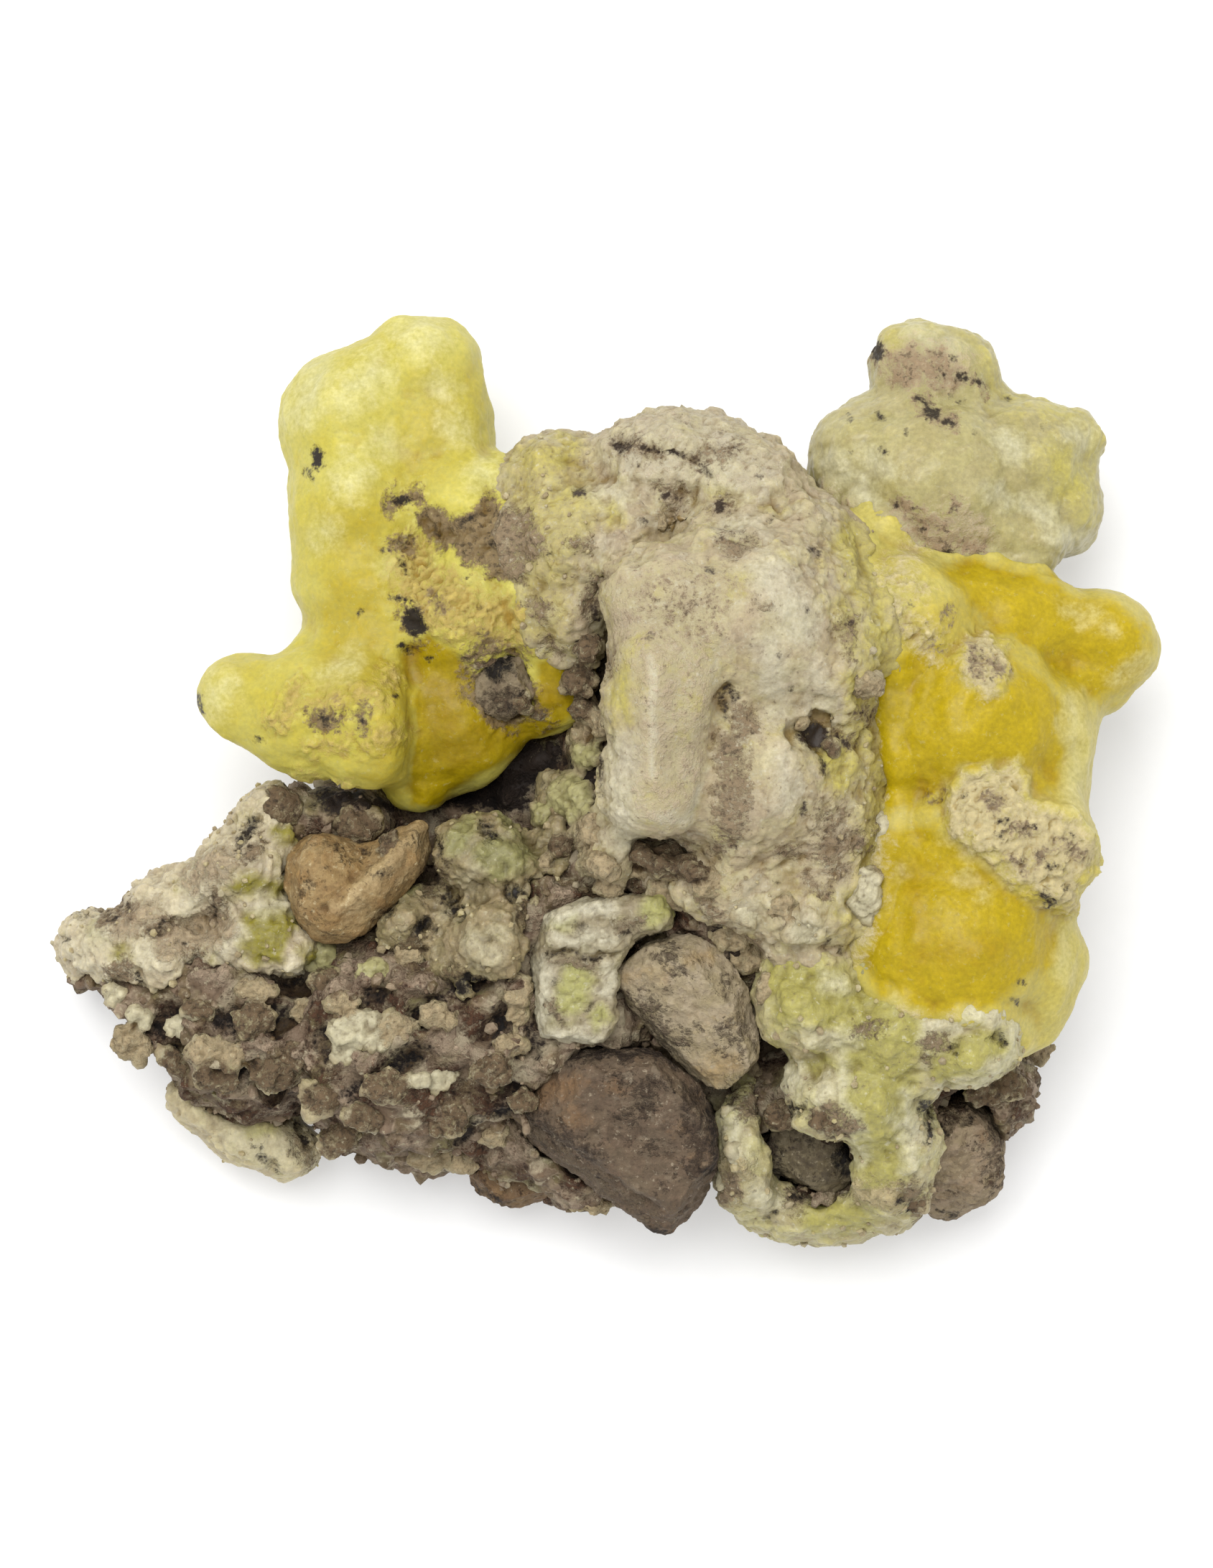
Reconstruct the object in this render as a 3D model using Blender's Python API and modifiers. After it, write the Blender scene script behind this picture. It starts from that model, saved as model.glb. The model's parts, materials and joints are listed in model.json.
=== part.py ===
"""A hand specimen of yellow brucite on brown breccia, lying on its flat broken back.

The frame is in metres with +Z up. The origin is in the middle of the specimen's bounding box, on the
surface that it lies on. +X runs towards the far knob and +Y towards the tip of the horn. Sizes below are in
millimetres.
"""

import math
import random

import bmesh
import bpy
from mathutils import Euler, Matrix, Vector
from mathutils.bvhtree import BVHTree

MM = 0.001

# Clearance between two pieces that meet.
GAP = 0.3
# Cell size at which overlapping lumps are skinned into one growth.
CELL = 0.85
# Cell size for the crumbly rock, whose chunks are smaller.
FINE_CELL = 0.75
# The stones' worn edges.
EDGE = 0.45
# How far up a stone is widest, and the share of that width that its foot has.
WAIST = 0.62
FOOT_SHARE = 0.74
# A height above the whole specimen, from which chunks are dropped on a growth.
SKY = 60.0

# Each lump is a name, a centre (x, y, z), radii (x, y, z) and a turn about the vertical in degrees.
LEFT_BRUCITE = [
    ("horn tip", (-14.0, 29.4, 13.5), (5.1, 4.0, 5.2), 15),
    ("horn left bulge", (-18.3, 25.7, 13.5), (5.3, 5.6, 6.0), 20),
    ("horn right side", (-12.5, 25.3, 13.5), (4.3, 5.3, 5.5), -10),
    ("horn middle", (-17.9, 19.7, 14.5), (5.2, 5.3, 6.2), 0),
    ("horn back", (-11.0, 20.4, 15.0), (4.4, 4.0, 5.6), 0),
    ("horn foot", (-17.1, 14.1, 15.0), (5.3, 4.9, 6.0), 0),
    ("waist", (-15.9, 10.5, 15.5), (5.6, 3.9, 5.6), 0),
    ("web", (-8.1, 16.1, 17.5), (4.5, 4.2, 5.0), -20),
    ("lower web", (-10.3, 11.6, 18.0), (5.0, 3.9, 5.0), 0),
    ("deep side", (-10.9, 5.4, 15.0), (4.9, 6.3, 5.6), 20),
    ("chin", (-13.4, 0.5, 14.5), (2.8, 2.9, 3.6), 0),
    ("right web", (-4.8, 7.1, 16.5), (4.4, 3.8, 4.6), -10),
    ("upper web", (-4.8, 12.1, 18.5), (3.4, 3.9, 4.5), 0),
    ("knob end", (-26.1, 6.0, 17.5), (3.2, 3.5, 3.6), 0),
    ("knob", (-21.5, 4.9, 18.5), (4.8, 4.6, 4.8), 0),
    ("knob shoulder", (-17.3, 4.2, 19.5), (3.8, 4.8, 5.0), 10),
    ("knob root", (-19.3, 7.7, 16.5), (4.0, 3.4, 4.6), 0),
]
PALE_BRUCITE = [
    ("crown", (22.7, 29.5, 13.0), (4.1, 3.7, 4.6), 0),
    ("crown right", (25.7, 28.8, 12.5), (2.8, 3.5, 4.0), 0),
    ("left belly", (19.0, 23.0, 14.5), (4.5, 4.4, 5.4), 0),
    ("belly", (23.2, 21.7, 15.5), (6.3, 5.7, 6.8), 0),
    ("right side", (29.4, 22.5, 13.5), (5.1, 5.4, 5.6), 0),
    ("ear", (33.2, 24.9, 12.5), (2.9, 2.2, 3.2), -15),
    ("low right", (33.2, 19.7, 12.5), (2.7, 3.6, 4.0), 0),
    ("skirt", (28.3, 17.5, 14.0), (5.5, 3.0, 4.8), 0),
    ("root", (19.3, 18.6, 14.0), (3.9, 3.6, 4.8), -30),
    ("seam", (23.6, 16.2, 14.0), (5.0, 2.6, 4.8), 0),
]
RIGHT_BRUCITE = [
    ("saddle", (18.4, 15.8, 17.5), (3.6, 3.6, 5.0), -30),
    ("arm root", (25.5, 13.2, 17.0), (4.0, 3.2, 4.8), -25),
    ("arm", (29.9, 11.5, 16.5), (4.3, 3.5, 4.8), 0),
    ("far knob", (35.8, 10.2, 15.5), (4.1, 3.7, 4.8), -20),
    ("far knob foot", (35.5, 7.7, 15.0), (2.8, 2.8, 3.8), 0),
    ("upper body", (21.0, 11.0, 20.5), (5.0, 5.3, 5.8), -20),
    ("upper window", (25.5, 4.3, 20.0), (7.0, 6.3, 6.8), 0),
    ("right rim", (32.3, 1.5, 17.0), (2.9, 7.3, 5.0), -5),
    ("middle", (27.1, -3.5, 20.5), (6.4, 4.7, 6.0), 0),
    ("inner side", (21.3, -5.0, 18.0), (3.4, 6.4, 5.4), 0),
    ("patch rise", (30.0, -4.2, 21.5), (5.1, 4.7, 4.8), -35),
    ("lower window", (25.0, -11.4, 19.5), (7.2, 6.8, 6.8), 0),
    ("lower rim", (31.2, -12.5, 16.5), (2.8, 5.6, 4.8), 5),
    ("lower end", (29.3, -17.1, 15.5), (3.5, 3.2, 4.4), 0),
]
CREAM_CRUST = [
    ("cap", (4.3, 22.4, 20.0), (5.4, 3.9, 6.0), 5),
    ("cap right", (9.7, 20.4, 20.5), (4.9, 4.6, 6.4), -25),
    ("upper right", (14.0, 16.3, 22.0), (4.0, 4.9, 6.0), 25),
    ("heart", (9.8, 11.6, 26.5), (7.4, 6.8, 7.8), 0),
    ("right heart", (15.4, 9.3, 24.5), (4.8, 7.3, 6.6), 5),
    ("slab head", (4.1, 13.0, 28.5), (4.3, 3.5, 5.6), 0),
    ("slab", (3.7, 6.5, 29.5), (4.0, 6.3, 5.6), 0),
    ("slab foot", (3.4, -0.2, 28.0), (4.0, 4.1, 5.2), 0),
    ("lower heart", (9.8, 1.0, 25.0), (6.8, 6.8, 7.2), 0),
    ("right flank", (16.6, -0.4, 22.0), (4.0, 6.3, 6.2), 0),
    ("foot", (14.3, -8.3, 21.0), (5.7, 4.7, 5.6), 0),
    ("left foot", (8.7, -7.2, 21.5), (5.1, 3.6, 5.2), 0),
    ("drip", (0.6, -3.5, 21.5), (1.7, 4.7, 4.4), 0),
    ("shoulder", (-3.5, 21.9, 17.5), (4.0, 3.1, 5.0), 0),
    ("lower shoulder", (-3.1, 17.2, 20.0), (4.3, 4.4, 5.6), 0),
    ("shoulder root", (-2.7, 11.9, 20.5), (2.9, 3.5, 5.0), 0),
    ("shoulder infill", (0.9, 17.2, 20.0), (4.2, 4.8, 5.6), 0),
]
GREEN_CRUST = [
    ("left lobe", (14.5, -15.8, 20.0), (3.9, 4.0, 4.8), 0),
    ("middle", (20.4, -18.3, 19.0), (5.4, 4.0, 5.0), 0),
    ("cream lobe", (25.7, -18.6, 20.0), (3.8, 3.2, 4.6), 0),
    ("centre", (18.2, -22.3, 17.5), (5.1, 4.0, 5.0), 0),
    ("ridge", (20.9, -26.5, 14.0), (3.4, 4.9, 5.0), -15),
    ("bottom", (15.4, -30.6, 7.5), (6.4, 3.1, 5.2), 0),
    ("left strand", (9.9, -26.5, 11.5), (2.3, 5.1, 5.2), 0),
    ("tail", (30.5, -20.9, 11.5), (2.1, 3.2, 4.6), -20),
    ("bottom root", (20.4, -29.8, 9.0), (3.4, 2.5, 4.8), 0),
]
MIDDLE_CRUST = [
    ("high lobe", (-9.1, -5.3, 17.5), (3.1, 2.9, 4.0), 0),
    ("right lobe", (-5.8, -7.6, 17.0), (2.9, 2.7, 3.6), 0),
    ("low lobe", (-8.1, -11.9, 18.5), (3.2, 3.5, 4.0), 0),
    ("left lobe", (-14.4, -10.9, 16.0), (2.7, 2.7, 3.6), 0),
    ("left bridge", (-11.4, -11.6, 16.6), (2.2, 2.2, 3.0), 0),
    ("under", (-10.3, -15.0, 17.0), (3.5, 3.0, 3.6), 0),
    ("glassy lump", (-2.8, -1.4, 15.0), (2.4, 3.0, 4.0), 0),
    ("glassy root", (-3.2, -5.5, 15.5), (2.6, 2.8, 4.0), 0),
]
WING_CRUST = [
    ("tip", (-37.7, -11.9, 8.0), (2.2, 2.7, 3.4), 0),
    ("upper edge", (-30.5, -8.6, 11.0), (4.6, 2.6, 4.0), 15),
    ("flat", (-31.3, -13.1, 11.0), (7.4, 3.5, 4.4), -12),
    ("green window", (-24.2, -11.5, 14.0), (4.0, 3.2, 4.6), 0),
    ("rise", (-25.7, -6.3, 13.5), (4.4, 3.4, 4.6), 30),
    ("top", (-24.2, -3.0, 14.0), (2.5, 2.7, 4.0), 0),
]
TONGUE = [
    ("root", (-29.3, -23.2, 6.0), (3.1, 2.3, 3.6), -30),
    ("body", (-26.1, -25.5, 5.4), (3.7, 2.6, 3.8), -30),
    ("end", (-23.2, -26.8, 4.8), (2.3, 2.3, 3.5), 0),
]
MATRIX = [
    ("left wing", (-33.2, -16.1, 6.0), (6.0, 4.7, 7.4), -20),
    ("left middle", (-25.5, -18.1, 7.5), (7.3, 6.8, 9.6), 0),
    ("centre", (-14.8, -17.5, 8.5), (9.6, 10.1, 11.0), 0),
    ("middle", (-4.8, -14.7, 9.5), (10.1, 12.0, 12.0), 0),
    ("under the cream", (6.3, -3.0, 10.0), (11.4, 16.4, 14.0), 0),
    ("under the right", (20.4, -7.6, 9.0), (10.6, 15.6, 12.0), 0),
    ("low right", (17.6, -24.0, 7.0), (10.6, 6.6, 9.6), 0),
    ("low middle", (0.8, -25.1, 7.0), (10.1, 5.9, 9.0), 0),
    ("low left", (-12.6, -24.9, 6.0), (6.6, 3.7, 7.6), 0),
    ("under the yellow", (-13.0, -2.5, 5.2), (8.5, 7.8, 6.6), 0),
    ("under the cap", (5.4, 14.6, 9.0), (9.0, 7.4, 11.0), 0),
    ("right end", (26.3, -23.1, 7.0), (4.7, 4.7, 8.6), 0),
    ("dark ledge", (-20.4, -2.6, 13.4), (5.1, 2.3, 4.4), 0),
    ("ledge root", (-19.6, -5.4, 9.0), (5.0, 3.6, 6.0), 0),
    ("cavity floor", (-5.6, 1.4, 7.6), (6.4, 6.8, 6.4), 0),
    ("cavity wall", (0.2, 3.6, 15.0), (1.9, 5.0, 5.6), 0),
    ("under the cluster", (22.5, 14.0, 7.4), (7.5, 6.5, 7.0), 0),
]

# Where small chunks crumble out of the rock: middle (x, y), reach (x, y), how many, and their least and
# largest radius.
ROCK_CHUNKS = [
    ((-27.0, -19.0), (9.0, 5.5), 34, 0.9, 2.2),
    ((-14.0, -19.0), (8.0, 8.0), 46, 0.9, 2.3),
    ((-2.0, -27.0), (9.0, 5.0), 20, 0.9, 2.0),
    ((18.0, -27.0), (10.0, 5.0), 22, 0.9, 2.0),
    ((29.0, -22.5), (3.0, 3.5), 10, 0.8, 1.6),
    ((-20.0, -4.0), (6.5, 3.0), 18, 0.8, 1.7),
    ((-2.0, -8.0), (5.0, 6.0), 16, 0.8, 1.8),
]
GREEN_CHUNKS = [
    ((18.0, -19.5), (8.5, 6.0), 36, 0.7, 1.6),
    ((17.0, -29.0), (7.5, 4.0), 18, 0.7, 1.4),
]
MIDDLE_CHUNKS = [
    ((-8.5, -10.0), (6.5, 6.5), 26, 0.7, 1.5),
]
WING_CHUNKS = [
    ((-31.0, -10.5), (8.5, 5.5), 24, 0.6, 1.4),
]
SHOULDER_CHUNKS = [
    ((-3.0, 18.0), (4.0, 6.0), 16, 0.7, 1.4),
    ((13.0, -8.0), (5.5, 3.5), 10, 0.7, 1.4),
]

# Each stone is an outline seen from above (x, y), the heights of its bottom and top, the share of the
# outline's size that is left at the top, how far the top is shifted (x, y), and the top's slope along x and y.
BROWN_BLOCK = (
    [(-7.3, -25.0), (-4.8, -20.5), (-2.2, -19.5), (2.8, -19.5), (5.9, -22.0), (7.7, -23.8), (7.8, -28.7),
     (7.1, -30.7), (4.4, -33.4), (-2.8, -28.1)],
    (5.0, 20.0), 0.84, (0.9, 0.9), (0.06, 0.36),
)
GREY_SLAB = (
    [(0.8, -13.6), (2.4, -11.2), (5.3, -10.9), (8.1, -12.6), (9.8, -14.7), (10.8, -17.5), (11.2, -20.3),
     (10.1, -22.3), (8.1, -22.9), (5.3, -21.4), (2.8, -19.1), (1.1, -16.4)],
    (17.0, 23.8), 0.86, (0.3, 0.6), (-0.08, 0.22),
)
PALE_BLOCK = (
    [(-5.2, -12.6), (-4.5, -9.4), (-1.4, -8.6), (4.2, -8.0), (4.9, -10.4), (2.1, -11.2), (0.4, -13.8),
     (0.5, -17.8), (-0.8, -19.0), (-4.8, -18.5)],
    (15.5, 23.4), 0.92, (0.2, 0.3), (0.06, 0.16),
)
CORNER_STONE = (
    [(22.3, -30.4), (23.2, -24.0), (25.5, -22.0), (28.3, -23.7), (28.9, -26.5), (28.6, -29.3), (26.0, -31.8),
     (24.1, -32.4)],
    (2.2, 14.4), 0.80, (-0.3, 0.9), (-0.12, 0.34),
)
DARK_STONE = (
    [(10.8, -26.2), (12.5, -23.9), (15.7, -24.0), (17.9, -26.5), (19.0, -29.0), (15.4, -30.0), (11.6, -28.7)],
    (7.0, 15.2), 0.78, (-0.2, 0.5), (0.04, 0.34),
)
UNDER_STONE = (
    [(-10.5, -28.7), (-7.6, -27.4), (-3.4, -28.9), (-4.3, -30.8), (-7.3, -31.3), (-9.5, -30.4)],
    (2.6, 9.2), 0.76, (0.0, 0.5), (0.0, 0.3),
)
GREY_INCLUSION = (
    [(-9.3, 7.8), (-7.3, 8.9), (-5.6, 8.2), (-5.3, 5.4), (-7.0, 4.2), (-9.0, 5.0)],
    (17.0, 21.0), 0.82, (0.0, 0.2), (0.0, 0.16),
)
# The rounded pebble is its body and the ridge that runs up from its right side.
ROUND_PEBBLE = [
    ("body", (-20.3, -7.6, 17.6), (2.9, 4.1, 4.0), 5),
    ("ridge", (-16.3, -7.1, 17.4), (2.0, 5.0, 3.5), -41),
    ("foot", (-18.6, -8.8, 17.0), (2.2, 2.9, 3.7), 0),
]

# Hollows and cuts in the cream crust: middle (x, y), height of the ball's middle, and radius.
CREAM_PITS = [
    ((8.6, 5.6), 33.4, 1.0),
    ((14.7, 3.3), 31.2, 1.5),
    ((13.4, 16.9), 28.8, 0.9),
    ((8.0, 17.3), 28.6, 1.1),
    ((0.9, 18.4), 27.3, 1.1),
    ((5.2, -5.2), 28.2, 2.0),
    ((9.1, 0.8), 33.8, 2.2),
    ((9.0, -1.4), 33.2, 2.0),
]


def clear_scene():
    for obj in list(bpy.data.objects):
        bpy.data.objects.remove(obj)


def finish(name, colour, roughness):
    """A Principled finish, such as waxy brucite or dull rock."""
    material = bpy.data.materials.new(name)
    material.use_nodes = True
    shader = material.node_tree.nodes["Principled BSDF"]
    shader.inputs["Base Color"].default_value = (*colour, 1.0)
    shader.inputs["Roughness"].default_value = roughness
    shader.inputs["Metallic"].default_value = 0.0
    return material


def add_object(name, shape, material, collection):
    """Makes an object from a bmesh, and frees the bmesh."""
    mesh = bpy.data.meshes.new(name)
    shape.to_mesh(mesh)
    shape.free()
    mesh.materials.append(material)
    obj = bpy.data.objects.new(name, mesh)
    collection.objects.link(obj)
    return obj


def bake(obj):
    """Replaces an object's mesh by the one that its modifiers make, and drops them."""
    graph = bpy.context.evaluated_depsgraph_get()
    made = bpy.data.meshes.new_from_object(obj.evaluated_get(graph))
    obj.modifiers.clear()
    old = obj.data
    obj.data = made
    bpy.data.meshes.remove(old)


def add_lumps(shape, lumps):
    """Adds each lump to the bmesh as a stretched ball."""
    for _, centre, radii, turn in lumps:
        place = (
            Matrix.Translation(Vector(centre) * MM)
            @ Matrix.Rotation(math.radians(turn), 4, "Z")
            @ Matrix.Diagonal((*(Vector(radii) * MM), 1.0))
        )
        bmesh.ops.create_icosphere(shape, subdivisions=4, radius=1.0, matrix=place)


def add_chunks(shape, places, seed):
    """Drops small rough chunks on what the bmesh holds, which then stand out of its upper side."""
    dice = random.Random(seed)
    ground = BVHTree.FromBMesh(shape)
    for (x, y), (reach_x, reach_y), count, least, largest in places:
        for _ in range(count):
            angle = dice.uniform(0.0, 2 * math.pi)
            share = math.sqrt(dice.random())
            size = dice.uniform(least, largest)
            turn = Euler([dice.uniform(0.0, math.pi) for _ in range(3)]).to_matrix().to_4x4()
            squeeze = [size * dice.uniform(0.7, 1.2) * MM for _ in range(3)]
            aside = Vector((reach_x * math.cos(angle), reach_y * math.sin(angle), 0.0)) * share
            above = (Vector((x, y, SKY)) + aside) * MM
            hit, _, _, _ = ground.ray_cast(above, Vector((0.0, 0.0, -1.0)))
            if hit is None:
                continue
            place = Matrix.Translation(hit) @ turn @ Matrix.Diagonal((*squeeze, 1.0))
            bmesh.ops.create_icosphere(shape, subdivisions=1, radius=1.0, matrix=place)


def fuse(obj, cell):
    """Skins overlapping shapes as one closed body."""
    skin = obj.modifiers.new("Skin", "REMESH")
    skin.mode = "VOXEL"
    skin.voxel_size = cell * MM


def soften(obj, rounds):
    """Rounds the creases where lumps meet."""
    smooth = obj.modifiers.new("Soften", "SMOOTH")
    smooth.factor = 0.5
    smooth.iterations = rounds


def roughen(obj, size, height):
    """Raises and sinks the surface in soft waves of that size and height."""
    waves = bpy.data.textures.new(obj.name + " waves", "CLOUDS")
    waves.noise_scale = size * MM
    waves.noise_depth = 1
    relief = obj.modifiers.new("Relief", "DISPLACE")
    relief.texture = waves
    relief.strength = height * MM
    relief.mid_level = 0.5


def thin_out(obj, faces):
    """Keeps about that many triangles."""
    bake(obj)
    obj.data.calc_loop_triangles()
    reduce = obj.modifiers.new("Thin out", "DECIMATE")
    reduce.ratio = min(1.0, faces / len(obj.data.loop_triangles))
    reduce.use_collapse_triangulate = True
    bake(obj)


def cut_flat(obj):
    """Takes off whatever lies below the surface that the specimen rests on, and closes the cut."""
    shape = bmesh.new()
    shape.from_mesh(obj.data)
    cut = bmesh.ops.bisect_plane(
        shape,
        geom=shape.verts[:] + shape.edges[:] + shape.faces[:],
        dist=1e-7,
        plane_co=(0.0, 0.0, 0.0),
        plane_no=(0.0, 0.0, 1.0),
        clear_inner=True,
    )
    rim = [edge for edge in cut["geom_cut"] if isinstance(edge, bmesh.types.BMEdge)]
    if rim:
        bmesh.ops.holes_fill(shape, edges=rim, sides=0)
    bmesh.ops.triangulate(shape, faces=[face for face in shape.faces if len(face.verts) > 3])
    bmesh.ops.recalc_face_normals(shape, faces=shape.faces[:])
    shape.to_mesh(obj.data)
    shape.free()


def grow(name, lumps, chunks, seed, cell, rounds, waves, faces, material, collection):
    """One growth: its lumps and chunks skinned as one body, softened, given its relief and thinned out."""
    shape = bmesh.new()
    add_lumps(shape, lumps)
    add_chunks(shape, chunks, seed)
    obj = add_object(name, shape, material, collection)
    fuse(obj, cell)
    soften(obj, rounds)
    for size, height in waves:
        roughen(obj, size, height)
    thin_out(obj, faces)
    cut_flat(obj)
    return obj


def stone(name, form, material, collection):
    """An angular stone with worn edges, narrower at its foot and at its shifted, sloping top than at its waist."""
    outline, (bottom, top), share, shift, slope = form
    middle = sum((Vector(corner) for corner in outline), Vector((0.0, 0.0))) / len(outline)
    waist = bottom + (top - bottom) * WAIST
    level = Vector((0.0, 0.0))
    shape = bmesh.new()
    rings = []
    for height, part, drift, tilt in (
        (bottom, FOOT_SHARE, level, level),
        (waist, 1.0, level, level),
        (top, share, Vector(shift), Vector(slope)),
    ):
        reaches = [Vector(corner) - middle for corner in outline]
        places = [(*(middle + away * part + drift), height + away.dot(tilt)) for away in reaches]
        rings.append([shape.verts.new(Vector(place) * MM) for place in places])
    for lower, upper in zip(rings, rings[1:]):
        for corner in range(len(outline)):
            after = (corner + 1) % len(outline)
            shape.faces.new((lower[corner], lower[after], upper[after], upper[corner]))
    shape.faces.new(rings[0])
    shape.faces.new(rings[-1])
    bmesh.ops.recalc_face_normals(shape, faces=shape.faces[:])
    obj = add_object(name, shape, material, collection)
    worn = obj.modifiers.new("Worn edges", "BEVEL")
    worn.width = EDGE * MM
    worn.segments = 1
    worn.limit_method = "ANGLE"
    flat = obj.modifiers.new("Facets", "TRIANGULATE")
    flat.quad_method = "SHORTEST_DIAGONAL"
    roughen(obj, 3.0, 0.8)
    thin_out(obj, 10 * len(outline))
    return obj


def swollen(obj, collection):
    """A cutter: the object's own shape, larger by the clearance all round."""
    shape = bmesh.new()
    shape.from_mesh(obj.data)
    shape.normal_update()
    moves = [(corner, corner.co + corner.normal * GAP * MM) for corner in shape.verts]
    for corner, place in moves:
        corner.co = place
    cutter = add_object(obj.name + " cutter", shape, obj.data.materials[0], collection)
    cutter.hide_render = True
    cutter.display_type = "WIRE"
    return cutter


def keep_largest(obj):
    """Deletes the crumbs that a cut has left loose."""
    shape = bmesh.new()
    shape.from_mesh(obj.data)
    unseen = set(shape.verts)
    bodies = []
    while unseen:
        body, edge_of_search = set(), [unseen.pop()]
        while edge_of_search:
            corner = edge_of_search.pop()
            body.add(corner)
            for edge in corner.link_edges:
                other = edge.other_vert(corner)
                if other in unseen:
                    unseen.discard(other)
                    edge_of_search.append(other)
        bodies.append(body)
    bodies.sort(key=len)
    crumbs = [corner for body in bodies[:-1] for corner in body]
    bmesh.ops.delete(shape, geom=crumbs, context="VERTS")
    shape.to_mesh(obj.data)
    shape.free()


def box_of(obj):
    corners = [obj.matrix_world @ Vector(corner) for corner in obj.bound_box]
    low = [min(corner[axis] for corner in corners) for axis in range(3)]
    high = [max(corner[axis] for corner in corners) for axis in range(3)]
    return low, high


def centre(objects):
    """Moves the specimen sideways so that the middle of its bounding box is at the origin."""
    bpy.context.view_layer.update()
    boxes = [box_of(obj) for obj in objects]
    low = [min(box[0][axis] for box in boxes) for axis in range(2)]
    high = [max(box[1][axis] for box in boxes) for axis in range(2)]
    shift = Vector((-(low[0] + high[0]) / 2, -(low[1] + high[1]) / 2, 0.0))
    for obj in objects:
        obj.data.transform(Matrix.Translation(shift))


def near(first, second):
    """Whether two objects' boxes come within the clearance of each other."""
    (low_a, high_a), (low_b, high_b) = box_of(first), box_of(second)
    room = 2 * GAP * MM
    return all(low_a[axis] < high_b[axis] + room and low_b[axis] < high_a[axis] + room for axis in range(3))


def fit_round(obj, cutters):
    """Cuts a growth back so that it meets each neighbour with the clearance between them.

    A swollen cutter can cross itself in a crease, which the exact solver reads as a hole in it.
    """
    bpy.context.view_layer.update()
    for cutter in cutters:
        if near(obj, cutter):
            cut = obj.modifiers.new("Fit round " + cutter.name, "BOOLEAN")
            cut.operation = "DIFFERENCE"
            cut.solver = "MANIFOLD"
            cut.object = cutter
    bake(obj)
    keep_largest(obj)


def hollow(obj, pits, cutters):
    """Sinks round pits into a growth."""
    for number, ((x, y), height, radius) in enumerate(pits):
        shape = bmesh.new()
        place = Matrix.Translation(Vector((x, y, height)) * MM)
        bmesh.ops.create_icosphere(shape, subdivisions=2, radius=radius * MM, matrix=place)
        cutter = add_object(f"{obj.name} pit {number}", shape, obj.data.materials[0], cutters)
        cutter.hide_render = True
        cutter.display_type = "WIRE"
        cut = obj.modifiers.new("Pit", "BOOLEAN")
        cut.operation = "DIFFERENCE"
        cut.solver = "EXACT"
        cut.object = cutter
    bake(obj)


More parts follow.
